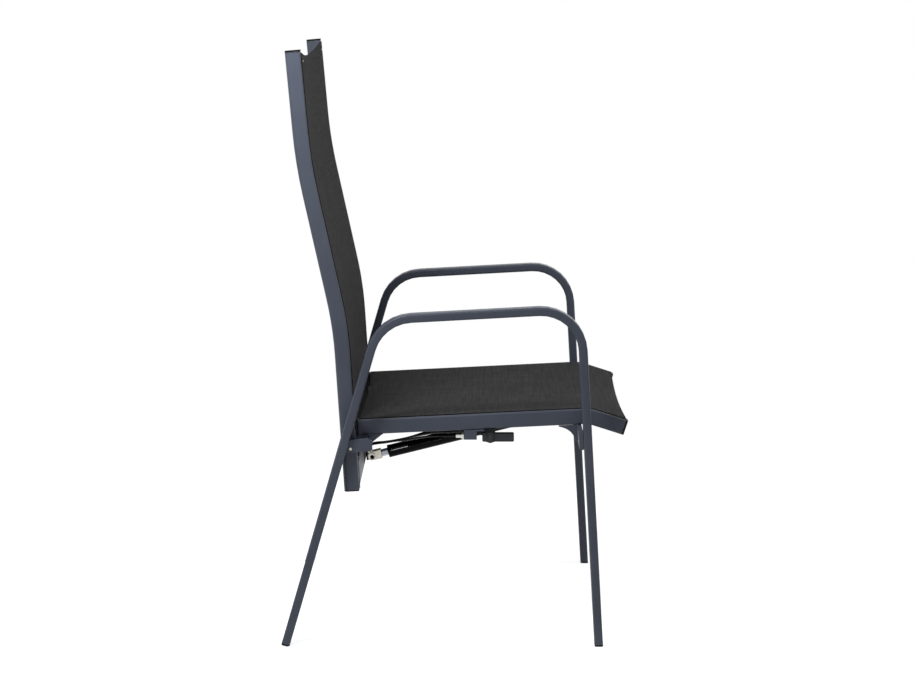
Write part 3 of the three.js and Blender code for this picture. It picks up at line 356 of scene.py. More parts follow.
pinSteel = metalMaterial("pinSteel", (211, 211, 206), 0.4, (1, 1, 1), 0.8)
stitchThread = plasticMaterial("stitchThread", (60, 60, 63), 0.7, 1500, specular=0.1)
edgeAndSlotShadeCloth = plasticMaterial("edgeAndSlotShadeCloth", (17, 17, 18), 0.75, 1500, specular=0.05)
ferruleZinc = metalMaterial("ferruleZinc", (244, 243, 238), 0.3, (1, 1, 1), 0.6)
print("materials made")


# Camera and studio

cameraLook = {
    "place": (-4.117, -0.0448, 1.271), "yaw": 0.574, "pitch": 10.312, "roll": -0.133,
    "lens": 84.49, "sensor": 36,
}


def makeCamera(look):
    bpy.ops.object.camera_add(location=look["place"])
    camera = bpy.context.object
    yaw, pitch, roll = (math.radians(look[key]) for key in ("yaw", "pitch", "roll"))
    forward = Vector((math.cos(pitch) * math.cos(yaw), math.cos(pitch) * math.sin(yaw), -math.sin(pitch)))
    level = Vector((math.sin(yaw), -math.cos(yaw), 0))
    upright = level.cross(forward)
    right = level * math.cos(roll) + upright * math.sin(roll)
    up = upright * math.cos(roll) - level * math.sin(roll)
    turn = Matrix((right, up, -forward)).transposed().to_4x4()
    camera.matrix_world = Matrix.Translation(look["place"]) @ turn
    camera.data.lens = look["lens"]
    camera.data.sensor_width = look["sensor"]
    camera.data.sensor_fit = "HORIZONTAL"
    camera.name = "photoCamera"
    bpy.context.scene.camera = camera


studioLook = {
    "ambient": 0.16, "floorSize": 80, "floorDrop": 0.0005, "floorColor": (250, 250, 250),
    "floorGlow": 0.82, "floorNear": 0.75, "floorFar": 1.7,
    "lamps": [
        {"name": "keySoftbox", "place": (-0.8, 0.5, 1.6), "aim": (-0.25, 0.3, 1.05),
         "size": (0.35, 0.35), "power": 10.5},
        {"name": "lowSoftbox", "place": (-0.8, 0.45, 0.9), "aim": (-0.2, 0.1, 0.4),
         "size": (0.3, 0.3), "power": 0.35},
        {"name": "frontSoftbox", "place": (0.3, -1.8, 2.0), "aim": (0, 0, 0.6),
         "size": (1.0, 1.0), "power": 9},
        {"name": "farSoftbox", "place": (2.8, -0.9, 1.0), "aim": (0, 0, 0.6),
         "size": (1.6, 1.6), "power": 6},
    ],
}


# the background is white to the camera, and in metal and glass
def showAsWhite(tree):
    rays = tree.nodes.new("ShaderNodeLightPath")
    total = rays.outputs["Is Camera Ray"]
    for ray in ("Is Glossy Ray", "Is Transmission Ray"):
        either = tree.nodes.new("ShaderNodeMath")
        either.operation = "MAXIMUM"
        tree.links.new(total, either.inputs[0])
        tree.links.new(rays.outputs[ray], either.inputs[1])
        total = either.outputs[0]
    return total


def makeWorld(look):
    world = bpy.data.worlds.new("studio")
    bpy.context.scene.world = world
    world.use_nodes = True
    tree = world.node_tree
    ambient = tree.nodes["Background"]
    ambient.inputs["Color"].default_value = (1, 1, 1, 1)
    ambient.inputs["Strength"].default_value = look["ambient"]
    white = tree.nodes.new("ShaderNodeBackground")
    white.inputs["Color"].default_value = (1, 1, 1, 1)
    mix = tree.nodes.new("ShaderNodeMixShader")
    tree.links.new(showAsWhite(tree), mix.inputs["Fac"])
    tree.links.new(ambient.outputs[0], mix.inputs[1])
    tree.links.new(white.outputs[0], mix.inputs[2])
    tree.links.new(mix.outputs[0], tree.nodes["World Output"].inputs["Surface"])


def makeLamps(look):
    for lamp in look["lamps"]:
        bpy.ops.object.light_add(type="AREA", location=lamp["place"])
        light = bpy.context.object
        light.name = lamp["name"]
        light.data.shape = "RECTANGLE"
        light.data.size, light.data.size_y = lamp["size"]
        light.data.energy = lamp["power"]
        aim = Vector(lamp["aim"]) - Vector(lamp["place"])
        light.rotation_euler = aim.to_track_quat("-Z", "Y").to_euler()


# the floor takes the chair's shadow near it, and is plain white further out
def makeFloor(look):
    deselectAll()
    bpy.ops.mesh.primitive_plane_add(size=look["floorSize"], location=(0, 0, -look["floorDrop"]))
    floor = bpy.context.object
    floor.name = "studioFloor"
    material, shader = newMaterial("studioWhite", look["floorColor"], 0.9, specular=0.1)
    tree = material.node_tree
    glow = addNode(material, "ShaderNodeEmission")
    shown = showAsWhite(tree)
    wire(material, mathNode(material, "MULTIPLY", shown, look["floorGlow"]), glow.inputs["Strength"])
    near = addNode(material, "ShaderNodeAddShader")
    wire(material, shader.outputs["BSDF"], near.inputs[0])
    wire(material, glow.outputs["Emission"], near.inputs[1])
    plain = addNode(material, "ShaderNodeEmission", Strength=1.0)
    reach = addNode(material, "ShaderNodeVectorMath", operation="LENGTH")
    wire(material, objectPlace(material), reach.inputs[0])
    fade = addNode(material, "ShaderNodeMapRange")
    wire(material, reach.outputs["Value"], fade.inputs["Value"])
    fade.inputs["From Min"].default_value = look["floorNear"]
    fade.inputs["From Max"].default_value = look["floorFar"]
    blend = addNode(material, "ShaderNodeMixShader")
    wire(material, mathNode(material, "MULTIPLY", fade.outputs["Result"], shown), blend.inputs["Fac"])
    wire(material, near.outputs["Shader"], blend.inputs[1])
    wire(material, plain.outputs["Emission"], blend.inputs[2])
    wire(material, blend.outputs["Shader"], tree.nodes["Material Output"].inputs["Surface"])
    setMaterial(floor, material)


makeCamera(cameraLook)
makeWorld(studioLook)
makeLamps(studioLook)
makeFloor(studioLook)
bpy.context.scene.view_settings.view_transform = "Standard"
print("camera and studio made")


# Carried-over nodes: a merged, smoothed copy of each stands for it

dressForm = {"merge": 0.00001, "flatWithin": 1, "bevelAbove": 40, "segments": 2, "normalWeight": 80}


def dressNode(node, material, slot, angle=35, bevel=0.0):
    source = frame["nodes"][node]
    obj = bpy.data.objects.new(node + "Fine", source.data.copy())
    bpy.context.scene.collection.objects.link(obj)
    obj.matrix_world = Matrix.Identity(4)
    editAll(obj)
    bpy.ops.mesh.remove_doubles(threshold=dressForm["merge"])
    if bevel:
        bpy.ops.mesh.dissolve_limited(angle_limit=math.radians(dressForm["flatWithin"]))
    leaveEdit()
    if bevel:
        addModifier(obj, "BEVEL", width=bevel, segments=dressForm["segments"], limit_method="ANGLE",
                    angle_limit=math.radians(dressForm["bevelAbove"]))
    smoothByAngle(obj, angle)
    addModifier(obj, "WEIGHTED_NORMAL", keep_sharp=True, weight=dressForm["normalWeight"])
    return finishPiece(obj, node + "Fine", material, bodyOf[node], slot, node)


squareOn = 0.99          # a face this square to an axis counts as facing along it
roughlyOn = 0.9


def selectFaces(obj, chosen):
    activate(obj)
    bpy.ops.object.mode_set(mode="EDIT")
    bpy.ops.mesh.select_mode(type="FACE")
    bpy.ops.mesh.select_all(action="DESELECT")
    leaveEdit()
    for face in obj.data.polygons:
        face.select = chosen(face)
    bpy.ops.object.mode_set(mode="EDIT")


def paintSelected(obj, material):
    obj.data.materials.append(material)
    obj.active_material_index = len(obj.data.materials) - 1
    bpy.ops.object.material_slot_assign()
    leaveEdit()


# the top caps are black, with a pale band painted round their lower edge at the rail's end, a painted highlight
topCapLook = {"railEnd": (0, 0.28682, 1.096), "along": (0, 0.0804, 0.9968), "lip": 0.0011}


def dressTopCap(node, look):
    cap = dressNode(node, capPlastic, "black_plastic", 40, 0.0006)
    end, along = Vector(look["railEnd"]), Vector(look["along"])
    editAll(cap)
    bpy.ops.mesh.bisect(plane_co=end + along * look["lip"], plane_no=along)
    leaveEdit()
    # the cap's lower band is painted pale: a painted highlight where the cap meets the rail
    selectFaces(cap, lambda face: (face.center - end).dot(along) < look["lip"])
    paintSelected(cap, lipPlastic)


# the pivot bolts are black; only the shank's outer end face is painted zinc, a painted highlight
boltLook = {"highlightBeyond": 0.27}


def dressPivotBolt(node, look):
    bolt = dressNode(node, blackSteel, "black_steel", 40, 0.0003)
    # the shank's outer end face is painted zinc: a painted highlight on the black bolt
    selectFaces(bolt, lambda face: abs(face.center.x) > look["highlightBeyond"]
                and abs(face.normal.x) > squareOn)
    paintSelected(bolt, zincPlate)


for side in ("left", "right"):
    dressNode("side_frame_" + side, framePaint, "frame_paint")
    dressNode("seat_rail_" + side, framePaint, "frame_paint")
    dressNode("back_rail_" + side, framePaint, "frame_paint")
    for node in ("rear_plate_", "rear_gusset_", "front_gusset_"):
        dressNode(node + side, framePaint, "frame_paint", 40, 0.0006)
    for node in ("foot_rear_", "foot_front_", "seat_rail_front_cap_", "seat_rail_rear_cap_",
                 "back_rail_bottom_cap_"):
        dressNode(node + side, blackPlastic, "black_plastic", 40, 0.0006)
    dressTopCap("back_rail_top_cap_" + side, topCapLook)
    dressNode("front_bar_cap_" + side, greyPlastic, "grey_plastic", 40, 0.0004)
    dressNode("pivot_bush_" + side, blackPlastic, "black_plastic", 40)
    dressPivotBolt("pivot_bolt_" + side, boltLook)
    for node in ("seat_cord_", "back_cord_"):
        dressNode(node + side, blackPlastic, "black_plastic", 50)
for node in ("upper_back_bar", "lower_back_bar", "rear_cross_tube", "front_cross_bar"):
    dressNode(node, framePaint, "frame_paint", 40)
for node in ("anchor_pin", "lock_nut"):
    dressNode(node, brightSteel, "steel", 40, 0.0003)
dressNode("gas_spring_rod", rodChrome, "steel", 40, 0.0003)
for node in ("spring_anchor", "back_tongue", "lever_bolt", "release_lever"):
    dressNode(node, blackSteel, "black_steel", 40, 0.0004)
dressNode("gas_spring_cylinder", blackSteel, "black_steel", 40)
dressNode("spring_fork", zincPlate, "zinc", 40, 0.0005)
dressNode("cable_adjuster", ferruleZinc, "zinc", 40, 0.0003)
dressNode("lever_collar", blackPlastic, "black_plastic", 40)
dressNode("lever_bracket", framePaint, "frame_paint", 40, 0.0005)


# the grip's broad sides are sunk a little, inside a darker rim
gripLook = {"rim": 0.0014, "sink": -0.0004, "bevel": 0.0006, "broad": 0.0001, "hubEnd": -0.0785}
grip = dressNode("release_handle", blackPlastic, "black_plastic", 40, gripLook["bevel"])
selectFaces(grip, lambda face: abs(face.normal.x) > squareOn and face.area > gripLook["broad"])
bpy.ops.mesh.inset(thickness=gripLook["rim"], depth=gripLook["sink"])
paintSelected(grip, gripPlastic)
for face in grip.data.polygons:
    if face.center.y > gripLook["hubEnd"]:
        face.material_index = 1

# the hollow fork pin: its bore is opened up to near the shank's wall, and painted black, a painted shade in the
# hole
pinLook = {"bore": 0.0024, "within": 1.1, "open": 0.0035, "middle": (0, 0.16372, 0.2975)}
pin = dressNode("fork_pin", pinSteel, "steel", 40)


def inBore(place):
    away = math.hypot(place.y - pinLook["middle"][1], place.z - pinLook["middle"][2])
    return away < pinLook["bore"] * pinLook["within"]


selectFaces(pin, lambda face: all(inBore(pin.data.vertices[i].co) for i in face.vertices))
widen = pinLook["open"] / pinLook["bore"]
bpy.ops.transform.resize(value=(1, widen, widen), center_override=pinLook["middle"])
# the bore is painted black: painted shade inside the pin's hole
paintSelected(pin, blackSteel)

# a painted highlight: the guard's cut edge on the near side is painted pale
guardRim = {
    "axis": (0, -0.96965, 0.24452), "rise": (0.0003, 0.0016), "outside": -0.0104,
    "run": (0.039, 0.261), "faceUp": 0.3,
}
guard = dressNode("spring_guard", guardPlastic, "black_plastic", 40, 0.0005)


def onGuardRim(place):
    reach = place - Vector(pinLook["middle"])
    axis = Vector(guardRim["axis"])
    rise = reach.dot(Vector((0, axis.z, -axis.y)))
    inRun = guardRim["run"][0] < reach.dot(axis) < guardRim["run"][1]
    return inRun and place.x < guardRim["outside"] and guardRim["rise"][0] < rise < guardRim["rise"][1]


# paint the near cut edge pale: a painted highlight
selectFaces(guard, lambda face: onGuardRim(face.center) and face.normal.z > guardRim["faceUp"])
paintSelected(guard, paintedRimHighlight)
print("rigid pieces dressed")


# Small trim that the solids leave out

trimLook = {
    "screw": {
        "place": (0.2373, 0.2702, 1.080), "tilt": 94.6, "sides": 28, "bevel": 0.0002,
        "washer": 0.0034, "thin": 0.0006, "head": 0.0016, "high": 0.0013,
        "recessWide": 0.55, "recessWall": 0.0001, "recessDeep": 0.5,
    },
    "slotStop": {"low": (0.2356, 0.1782, 0.388), "high": (0.2403, 0.1850, 0.4042), "bevel": 0.0008},
    "tonguePlate": {
        "low": (-0.07, 0.1758, 0.2978), "high": (0.02, 0.1772, 0.3318), "lean": 3.28, "bevel": 0.0004,
    },
    "leverBoot": {
        "low": (-0.2344, -0.0752, 0.3957), "high": (-0.2326, -0.0556, 0.4021), "ribs": 6, "groove": 0.0007,
    },
}


def middleOf(low, high):
    return [(a + b) / 2 for a, b in zip(low, high)]


def boxBetween(low, high):
    deselectAll()
    bpy.ops.mesh.primitive_cube_add(size=1, location=middleOf(low, high))
    block = bpy.context.object
    block.scale = [b - a for a, b in zip(low, high)]
    return bakePlace(block)


def discAt(place, radius, thick, turn, sides):
    deselectAll()
    bpy.ops.mesh.primitive_cylinder_add(vertices=sides, radius=radius, depth=thick,
                                        location=place, rotation=turn)
    return bakePlace(bpy.context.object)


def makeTopScrew(side, sign, look):
    x, y, z = look["place"]
    turn = (math.radians(look["tilt"]), 0, 0)
    washer = discAt((sign * x, y, z), look["washer"], look["thin"], turn, look["sides"])
    addModifier(washer, "BEVEL", width=look["bevel"], segments=2)
    smoothByAngle(washer)
    finishPiece(washer, "topWasher_" + side, blackPlastic, "back", "black_plastic")
    head = discAt((sign * x, y - look["high"] / 2, z), look["head"], look["high"], turn, look["sides"])
    selectFaces(head, lambda face: face.normal.y < -roughlyOn)
    bpy.ops.mesh.inset(thickness=look["head"] * look["recessWide"], depth=0)
    bpy.ops.mesh.inset(thickness=look["recessWall"], depth=-look["high"] * look["recessDeep"])
    leaveEdit()
    addModifier(head, "BEVEL", width=look["bevel"], segments=2, limit_method="ANGLE")
    smoothByAngle(head)
    finishPiece(head, "topScrew_" + side, ferruleZinc, "back", "zinc")


# a stop below each back rail's slot keeps the cord in it
def makeSlotStop(side, sign, look):
    low, high = Vector(look["low"]), Vector(look["high"])
    if sign < 0:
        low.x, high.x = -high.x, -low.x
    stop = boxBetween(low, high)
    addModifier(stop, "BEVEL", width=look["bevel"], segments=3)
    smoothByAngle(stop)
    finishPiece(stop, "slotStop_" + side, blackPlastic, "back", "black_plastic")


# the tongue stands on a thin plate against the lower bar's front
def makeTonguePlate(look):
    plate = boxBetween(look["low"], look["high"])
    activate(plate)
    bpy.ops.transform.rotate(value=math.radians(look["lean"]), orient_axis="X",
                             center_override=middleOf(look["low"], look["high"]))
    bakePlace(plate)
    addModifier(plate, "BEVEL", width=look["bevel"], segments=2)
    smoothByAngle(plate)
    finishPiece(plate, "tonguePlate", blackSteel, "back", "black_steel")


# every second stretch of the boot's outer side is pushed in
def makeLeverBoot(look):
    boot = boxBetween(look["low"], look["high"])
    near, stretches = look["low"][1], 2 * look["ribs"]
    long = look["high"][1] - near
    for k in range(1, stretches):
        editAll(boot)
        bpy.ops.mesh.bisect(plane_co=(0, near + long * k / stretches, 0), plane_no=(0, 1, 0))
        leaveEdit()
    pitch = long / stretches
    selectFaces(boot, lambda face: face.normal.x < -roughlyOn
                and int((face.center.y - near) / pitch) % 2 == 1)
    bpy.ops.mesh.extrude_region_move(TRANSFORM_OT_translate={"value": (look["groove"], 0, 0)})
    leaveEdit()
    finishPiece(boot, "leverBoot", blackPlastic, "frame", "black_plastic")


for side, sign in (("left", 1), ("right", -1)):
    makeTopScrew(side, sign, trimLook["screw"])
    makeSlotStop(side, sign, trimLook["slotStop"])
makeTonguePlate(trimLook["tonguePlate"])
makeLeverBoot(trimLook["leverBoot"])
print("trim made")


# Weld beads: one bead modelled, then copied along each seam

weldLook = {
    "radius": 0.0014, "pitch": 0.0019, "bead": (0.85, 0.85, 0.9), "uneven": 0.0002, "beat": 2.3,
    "upperBar": {"place": (0.2396, 0.2859, 1.035), "radius": 0.0081, "sides": 28},
    "lowerBar": {"place": (0.2396, 0.18482, 0.31481), "deep": 0.016, "high": 0.045, "lean": 3.28},
    "rearTube": {"place": (0.2716, 0.16172, 0.381), "radius": 0.0081, "sides": 28},
    "rearPlateOuter": {"x": 0.2775, "line": ((0.1983, 0.369), (0.1921, 0.390))},
    "rearPlateInner": {"x": 0.2715, "line": ((0.1983, 0.369), (0.1921, 0.390))},
    "rearGusset": {"x": 0.2334, "line": ((0.1330, 0.3929), (0.1610, 0.3915))},
}


def ringSeam(sign, seam):
    x, y, z = seam["place"]
    turns = [math.tau * k / seam["sides"] for k in range(seam["sides"] + 1)]
    return [(sign * x, y + seam["radius"] * math.cos(t), z + seam["radius"] * math.sin(t)) for t in turns]


def barSeam(sign, seam):
    x, y, z = seam["place"]
    deep, high, lean = seam["deep"] / 2, seam["high"] / 2, math.radians(seam["lean"])
    corners = [(-deep, -high), (deep, -high), (deep, high), (-deep, high)]
    c, s = math.cos(lean), math.sin(lean)
    return [(sign * x, y + a * c + b * s, z + b * c - a * s) for a, b in corners + corners[:1]]


def straightSeam(sign, seam):
    return [(sign * seam["x"], y, z) for y, z in seam["line"]]


def makeWeld(name, body, seam, look):
    places = []
    for a, b in zip(seam, seam[1:]):
        a, b = Vector(a), Vector(b)
        count = max(1, round((b - a).length / look["pitch"]))
        places += [(a.lerp(b, k / count), (b - a).normalized()) for k in range(count)]
    deselectAll()
    bpy.ops.mesh.primitive_uv_sphere_add(segments=8, ring_count=5, radius=look["radius"])
    bead = bpy.context.object
    bead.scale = look["bead"]
    bakePlace(bead)
    shape = [v.co.copy() for v in bead.data.vertices]
    polygons = [tuple(p.vertices) for p in bead.data.polygons]
    activate(bead)
    bpy.ops.object.delete()
    vertices, faces = [], []
    for k, (place, along) in enumerate(places):
        turn = along.to_track_quat("Z", "X")
        grow = 1 + look["uneven"] / look["radius"] * math.sin(k * look["beat"])
        offset = len(vertices)
        vertices += [place + turn @ (co * grow) for co in shape]
        faces += [tuple(i + offset for i in polygon) for polygon in polygons]
    weld = meshObject(name, vertices, faces)
    smoothByAngle(weld, 60)
    finishPiece(weld, name, framePaint, body, "frame_paint")


for side, sign in (("left", 1), ("right", -1)):
    makeWeld("upperBarWeld_" + side, "back", ringSeam(sign, weldLook["upperBar"]), weldLook)
    makeWeld("lowerBarWeld_" + side, "back", barSeam(sign, weldLook["lowerBar"]), weldLook)
    makeWeld("rearTubeWeld_" + side, "frame", ringSeam(sign, weldLook["rearTube"]), weldLook)
    for seam in ("rearPlateOuter", "rearPlateInner", "rearGusset"):
        makeWeld(f"{seam}Weld_{side}", "frame", straightSeam(sign, weldLook[seam]), weldLook)
print("welds made")


# Slings

def bentPath(corners, step):
    stations = []
    points = [Vector((corner[0] * mm + shiftY, corner[1] * mm)) for corner in corners]
    for i, corner in enumerate(corners):
        if i == 0:
            stations.append((points[0], (points[1] - points[0]).normalized()))
            continue
        inward = (points[i] - points[i - 1]).normalized()
        if i == len(corners) - 1:
            stations.append((points[i], inward))
            continue
        outward = (points[i + 1] - points[i]).normalized()
        turn = inward.angle(outward)
        hand = 1 if inward.x * outward.y - inward.y * outward.x > 0 else -1
        radius = corner[2] * mm
        start = points[i] - inward * radius * math.tan(turn / 2)
        centre = start + Vector((-inward.y, inward.x)) * hand * radius
        steps = max(3, math.ceil(turn / step))
        for k in range(steps + 1):
            spin = Matrix.Rotation(hand * turn * k / steps, 2)
            stations.append((centre + spin @ (start - centre), spin @ inward))
    return stations


def alongPath(stations):
    lengths = [0.0]
    for a, b in zip(stations, stations[1:]):
        lengths.append(lengths[-1] + (b[0] - a[0]).length)

    def at(distance):
        i = 1
        while i < len(lengths) - 1 and lengths[i] < distance:
            i += 1
        share = (distance - lengths[i - 1]) / (lengths[i] - lengths[i - 1])
        point = stations[i - 1][0].lerp(stations[i][0], share)
        tangent = stations[i - 1][1].lerp(stations[i][1], share).normalized()
        return point, tangent
    return at, lengths[-1]


seatSheet = {
    "corners": [(216.7, 405.1), (-211.2, 425.9, 50), (-275.1, 405.1)], "railX": 0.223, "halfHigh": 0.0145,
    "sag": 0.006, "start": 0.002, "end": 0.0003, "startDip": 0.004, "endDip": 0.0015, "lines": 84,
    "flapEnd": None,
}
backSheet = {
    "corners": [(326.1, 1096), (310.1, 897.6, 900), (246.4, 599.1, 700), (228.8, 292)], "railX": 0.251,
    "halfHigh": 0.014, "sag": 0.006, "start": 0.002, "end": 0.112, "startDip": 0.013, "endDip": 0,
    "lines": 120, "flapEnd": 0.052, "flapHalf": 0.2098, "flapLines": 10,
}
sheetForm = {
    "thick": 0.0011, "gap": 0.0003, "lift": 0.0006, "halfWide": 0.011, "across": 44, "crowd": 0.9,
    "arcStep": 1.5, "slotIn": 0.0065, "tuck": 0.0022,
    "overRail": (0.25, 0.5, 0.75, 0.93), "intoSlot": (0.0003, 0.0012),
    "slotShadeStrip": 0.0012, "columnGap": 0.002, "slack": 0.0001, "hemLines": 4,
    "hem": {"long": 0.024, "lift": -0.00115, "thin": 0.9, "inside": 0.0015, "pastFlap": 0.0005},
    "stitch": {
        "pitch": 0.0036, "radius": 0.00035, "shape": (3.6, 1.0, 0.8), "proud": 0.00005,
        "insets": (0.0035, 0.0195), "inside": 0.004, "insideFlap": 0.002,
    },
}


def topOf(look, form):
    return look["halfHigh"] + form["gap"] + form["lift"]


def innerOf(look, form):
    return look["railX"] - form["halfWide"]


def slotOf(look, form):
    return look["railX"] + form["halfWide"] - form["slotIn"]


def acrossAt(look, form, x):
    share = x / innerOf(look, form)
    return topOf(look, form) - look["sag"] * (1 - share * share), 1 - share * share


def acrossLine(look, form):
    over, innerX, slotX = topOf(look, form), innerOf(look, form), slotOf(look, form)
    line = []
    for k in range(form["across"] + 1):
        share = 2 * k / form["across"] - 1
        share = math.copysign(abs(share) ** form["crowd"], share)
        line.append((innerX * share, *acrossAt(look, form, innerX * share)))
    edge = [(innerX + (slotX - innerX) * s, over, 0) for s in form["overRail"]]
    edge += [(slotX, over - deep, 0) for deep in form["intoSlot"]]
    edge.append((slotX, look["halfHigh"] - form["tuck"], 0))
    left = [(-x, h, d) for x, h, d in reversed(edge)]
    return left + line + edge


# a sheet's columns and lines, and the lines past the rails' slots, where only its middle goes on
def sheetGrid(name, look, form, end=None, long=None, lift=0.0, keep=None):
    at, length = alongPath(bentPath(look["corners"], math.radians(form["arcStep"])))
    line = acrossLine(look, form)
    if look["flapEnd"] and (end is None or end == "end"):
        line = [point for point in line if abs(abs(point[0]) - look["flapHalf"]) > form["columnGap"]]
        line += [(sign * look["flapHalf"], *acrossAt(look, form, look["flapHalf"])) for sign in (-1, 1)]
        line.sort(key=lambda point: point[0])
    if keep:
        line = [point for point in line if abs(point[0]) <= keep]
    runs = [0.0]
    for a, b in zip(line, line[1:]):
        runs.append(runs[-1] + math.hypot(b[0] - a[0], b[1] - a[1]))
    columns = len(line)
    last = look["flapEnd"] if look["flapEnd"] and end == "end" else look["end"]
    vertices, uvs, faces = [], [], []

    def addLine(share, begin, finish):
        for (x, h, dip), run in zip(line, runs):
            distance = begin(dip) + (finish(dip) - begin(dip)) * share
            point, tangent = at(distance)
            place = point + Vector((tangent.y, -tangent.x)) * (h + lift)
            vertices.append(Vector((x, place.x, place.y)))
            uvs.append((run, distance))

    def starts(dip):
        return look["start"] + look["startDip"] * dip if end != "end" else ends(dip) - long

    def ends(dip):
        return length - last - look["endDip"] * dip if end != "start" else starts(dip) + long

    lines = form["hemLines"] if end else look["lines"]
    for k in range(lines + 1):
        addLine(k / lines, starts, ends)
    if look["flapEnd"] and end is None:
        for k in range(1, look["flapLines"] + 1):
            addLine(k / look["flapLines"], ends, lambda dip: length - look["flapEnd"])
    for k in range(len(vertices) // columns - 1):
        for j in range(columns - 1):
            outside = max(abs(line[j][0]), abs(line[j + 1][0])) > look.get("flapHalf", 1) + form["slack"]
            if k < lines or not outside:
                a = k * columns + j
                faces.append((a, a + 1, a + columns + 1, a + columns))
    obj = meshObject(name, vertices, faces)
    layer = obj.data.uv_layers.new(name="weave")
    for loop in obj.data.loops:
        layer.data[loop.index].uv = uvs[loop.vertex_index]
    editAll(obj)
    bpy.ops.mesh.delete_loose(use_verts=True, use_edges=True, use_faces=False)
    leaveEdit()
    return obj, runs[-1], length - look["start"] - (look["flapEnd"] or look["end"])


# a row of stitches: one modelled, then copied along the hem
def stitchRow(look, form, end, inset, name):
    stitch = form["stitch"]
    at, length = alongPath(bentPath(look["corners"], math.radians(form["arcStep"])))
    flap = look["flapEnd"] and end == "end"
    innerX = look["flapHalf"] - stitch["insideFlap"] if flap else innerOf(look, form) - stitch["inside"]
    count = int(2 * innerX / stitch["pitch"])
    bpy.ops.mesh.primitive_uv_sphere_add(segments=6, ring_count=4, radius=stitch["radius"])
    bead = bpy.context.object
    bead.scale = stitch["shape"]
    bakePlace(bead)
    base = [v.co.copy() for v in bead.data.vertices]
    polygons = [tuple(p.vertices) for p in bead.data.polygons]
    vertices, faces = [], []
    for k in range(count):
        x = -innerX + stitch["pitch"] * (k + 0.5)
        share = x / innerOf(look, form)
        dip = 1 - share * share
        if end == "start":
            distance = look["start"] + look["startDip"] * dip + inset
        else:
            distance = length - (look["flapEnd"] or look["end"]) - look["endDip"] * dip - inset
        point, tangent = at(distance)
        up = Vector((tangent.y, -tangent.x))
        place = point + up * (topOf(look, form) - look["sag"] * dip + form["thick"] / 2 + stitch["proud"])
        place = Vector((x, place.x, place.y))
        offset = len(vertices)
        for co in base:
            turned = Vector((co.x, co.y * tangent.x + co.z * up.x, co.y * tangent.y + co.z * up.y))
            vertices.append(place + turned)
        faces += [tuple(index + offset for index in polygon) for polygon in polygons]
    activate(bead)
    bpy.ops.object.delete()
    return meshObject(name, vertices, faces)


# painted shade: the strip that dips into each rail's slot is painted darker than the weave; the cut edges are
# darker too
def thickenCloth(obj, thick, slotShadeFromX):
    setMaterial(obj, slingCloth)
    obj.data.materials.append(edgeAndSlotShadeCloth)
    addModifier(obj, "SOLIDIFY", thickness=thick, offset=0, material_offset_rim=1)
    # painted shade: faces past this x, dipping into the rail's slot, take the dark cloth
    for face in obj.data.polygons:
        if abs(face.center.x) > slotShadeFromX:
            face.material_index = 1
    smoothByAngle(obj, 50)


def makeSling(name, node, look, form, body):
    sheet, wide, long = sheetGrid(name, look, form)
    slotX, hemForm = slotOf(look, form), form["hem"]
    thickenCloth(sheet, form["thick"], slotX - form["slotShadeStrip"])
    finishPiece(sheet, name, None, body, "sling_fabric", node)
    for end in ("start", "end"):
        flap = look["flapEnd"] and end == "end"
        keep = look["flapHalf"] + hemForm["pastFlap"] if flap else innerOf(look, form) - hemForm["inside"]
        hemName = name + end.capitalize() + "Hem"
        hem = sheetGrid(hemName, look, form, end, hemForm["long"], hemForm["lift"], keep)[0]
        thickenCloth(hem, form["thick"] * hemForm["thin"], slotX)
        finishPiece(hem, hemName, None, body, "sling_fabric")
        for row, inset in enumerate(form["stitch"]["insets"]):
            stitches = stitchRow(look, form, end, inset, f"{name}{end.capitalize()}Stitch{row + 1}")
            finishPiece(stitches, stitches.name, stitchThread, body, "sling_fabric")


makeSling("seatSling", "seat_sling", seatSheet, sheetForm, "frame")
makeSling("backSling", "back_sling", backSheet, sheetForm, "back")
print("slings made")


# Release cables: each in two lengths

cableForm = {"radius": 0.0021, "roundness": 4, "steps": 8, "pastMiddle": 4}
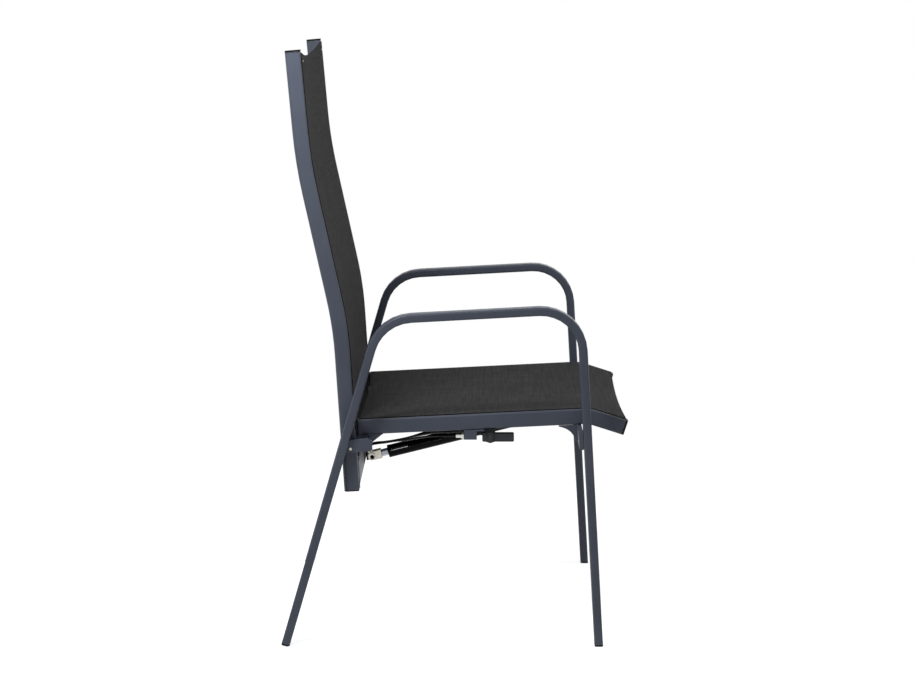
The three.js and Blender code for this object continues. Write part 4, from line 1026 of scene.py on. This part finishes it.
# the return cable's rubber boot: where it is thickest, where it has run out, and how much thicker it is
returnBoot = {"full": (-0.020, 0.050), "gone": (-0.034, 0.082), "grow": 2.0}
releaseRoute = [
    (-223, 36.4, 387), (-222.6, 45, 386.8), (-209, 66, 384), (-190, 85, 378.9), (-150, 112.7, 366),
    (-115, 133, 354.6), (-75, 154.7, 343.4), (-34, 176.5, 330.8), (-12, 190.5, 324.3),
    (-4.5, 198.7, 321.3), (-4.5, 202.6, 320.3), (-4.5, 206.8, 319.2),
]
returnRoute = [
    (-208.5, -19.5, 387), (-208.5, -8, 387.3), (-200, 21.2, 392.3), (-190, 47.5, 388.9), (-168, 78.1, 383),
    (-135, 109.4, 368.5), (-100, 135.5, 354.1), (-56, 157.5, 340), (-20, 177.5, 329), (-2, 190.5, 324),
    (4.5, 198.7, 321.3), (4.5, 202.6, 320.3), (4.5, 206.8, 319.2),
]


def curvePoints(route, steps):
    points = [Vector((x * mm, y * mm + shiftY, z * mm)) for x, y, z in route]
    points = [points[0] * 2 - points[1]] + points + [points[-1] * 2 - points[-2]]
    line = []
    for i in range(1, len(points) - 2):
        a, b, c, d = points[i - 1:i + 3]
        for k in range(steps):
            t = k / steps
            line.append(0.5 * (2 * b + (c - a) * t + (2 * a - 5 * b + 4 * c - d) * t * t
                               + (3 * b - 3 * c + d - a) * t ** 3))
    line.append(points[-2])
    return line


def bootAt(boot, y):
    if not boot:
        return 1
    low = (y - boot["gone"][0]) / (boot["full"][0] - boot["gone"][0])
    high = (boot["gone"][1] - y) / (boot["gone"][1] - boot["full"][1])
    return 1 + (boot["grow"] - 1) * max(0, min(1, low, high))


def makeCable(name, node, route, form, boot=None):
    line = curvePoints(route, form["steps"])
    half = len(line) // 2 + form["pastMiddle"]
    for part, points in (("Front", line[:half + 1]), ("Rear", line[half:])):
        curve = bpy.data.curves.new(name + part, "CURVE")
        curve.dimensions = "3D"
        curve.bevel_depth = form["radius"]
        curve.bevel_resolution = form["roundness"]
        curve.use_fill_caps = True
        spline = curve.splines.new("POLY")
        spline.points.add(len(points) - 1)
        for point, place in zip(spline.points, points):
            point.co = (*place, 1)
            point.radius = bootAt(boot, place.y)
        obj = bpy.data.objects.new(name + part, curve)
        bpy.context.scene.collection.objects.link(obj)
        activate(obj)
        bpy.ops.object.convert(target="MESH")
        obj = bpy.context.object
        smoothByAngle(obj, 60)
        obj.name = name + part
        setMaterial(obj, cableJacket)
        if part == "Front":
            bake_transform(obj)
        else:
            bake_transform(obj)
        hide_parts(node)


makeCable("releaseCable", "release_cable", releaseRoute, cableForm)
makeCable("returnCable", "return_cable", returnRoute, cableForm, returnBoot)
print("cables made")
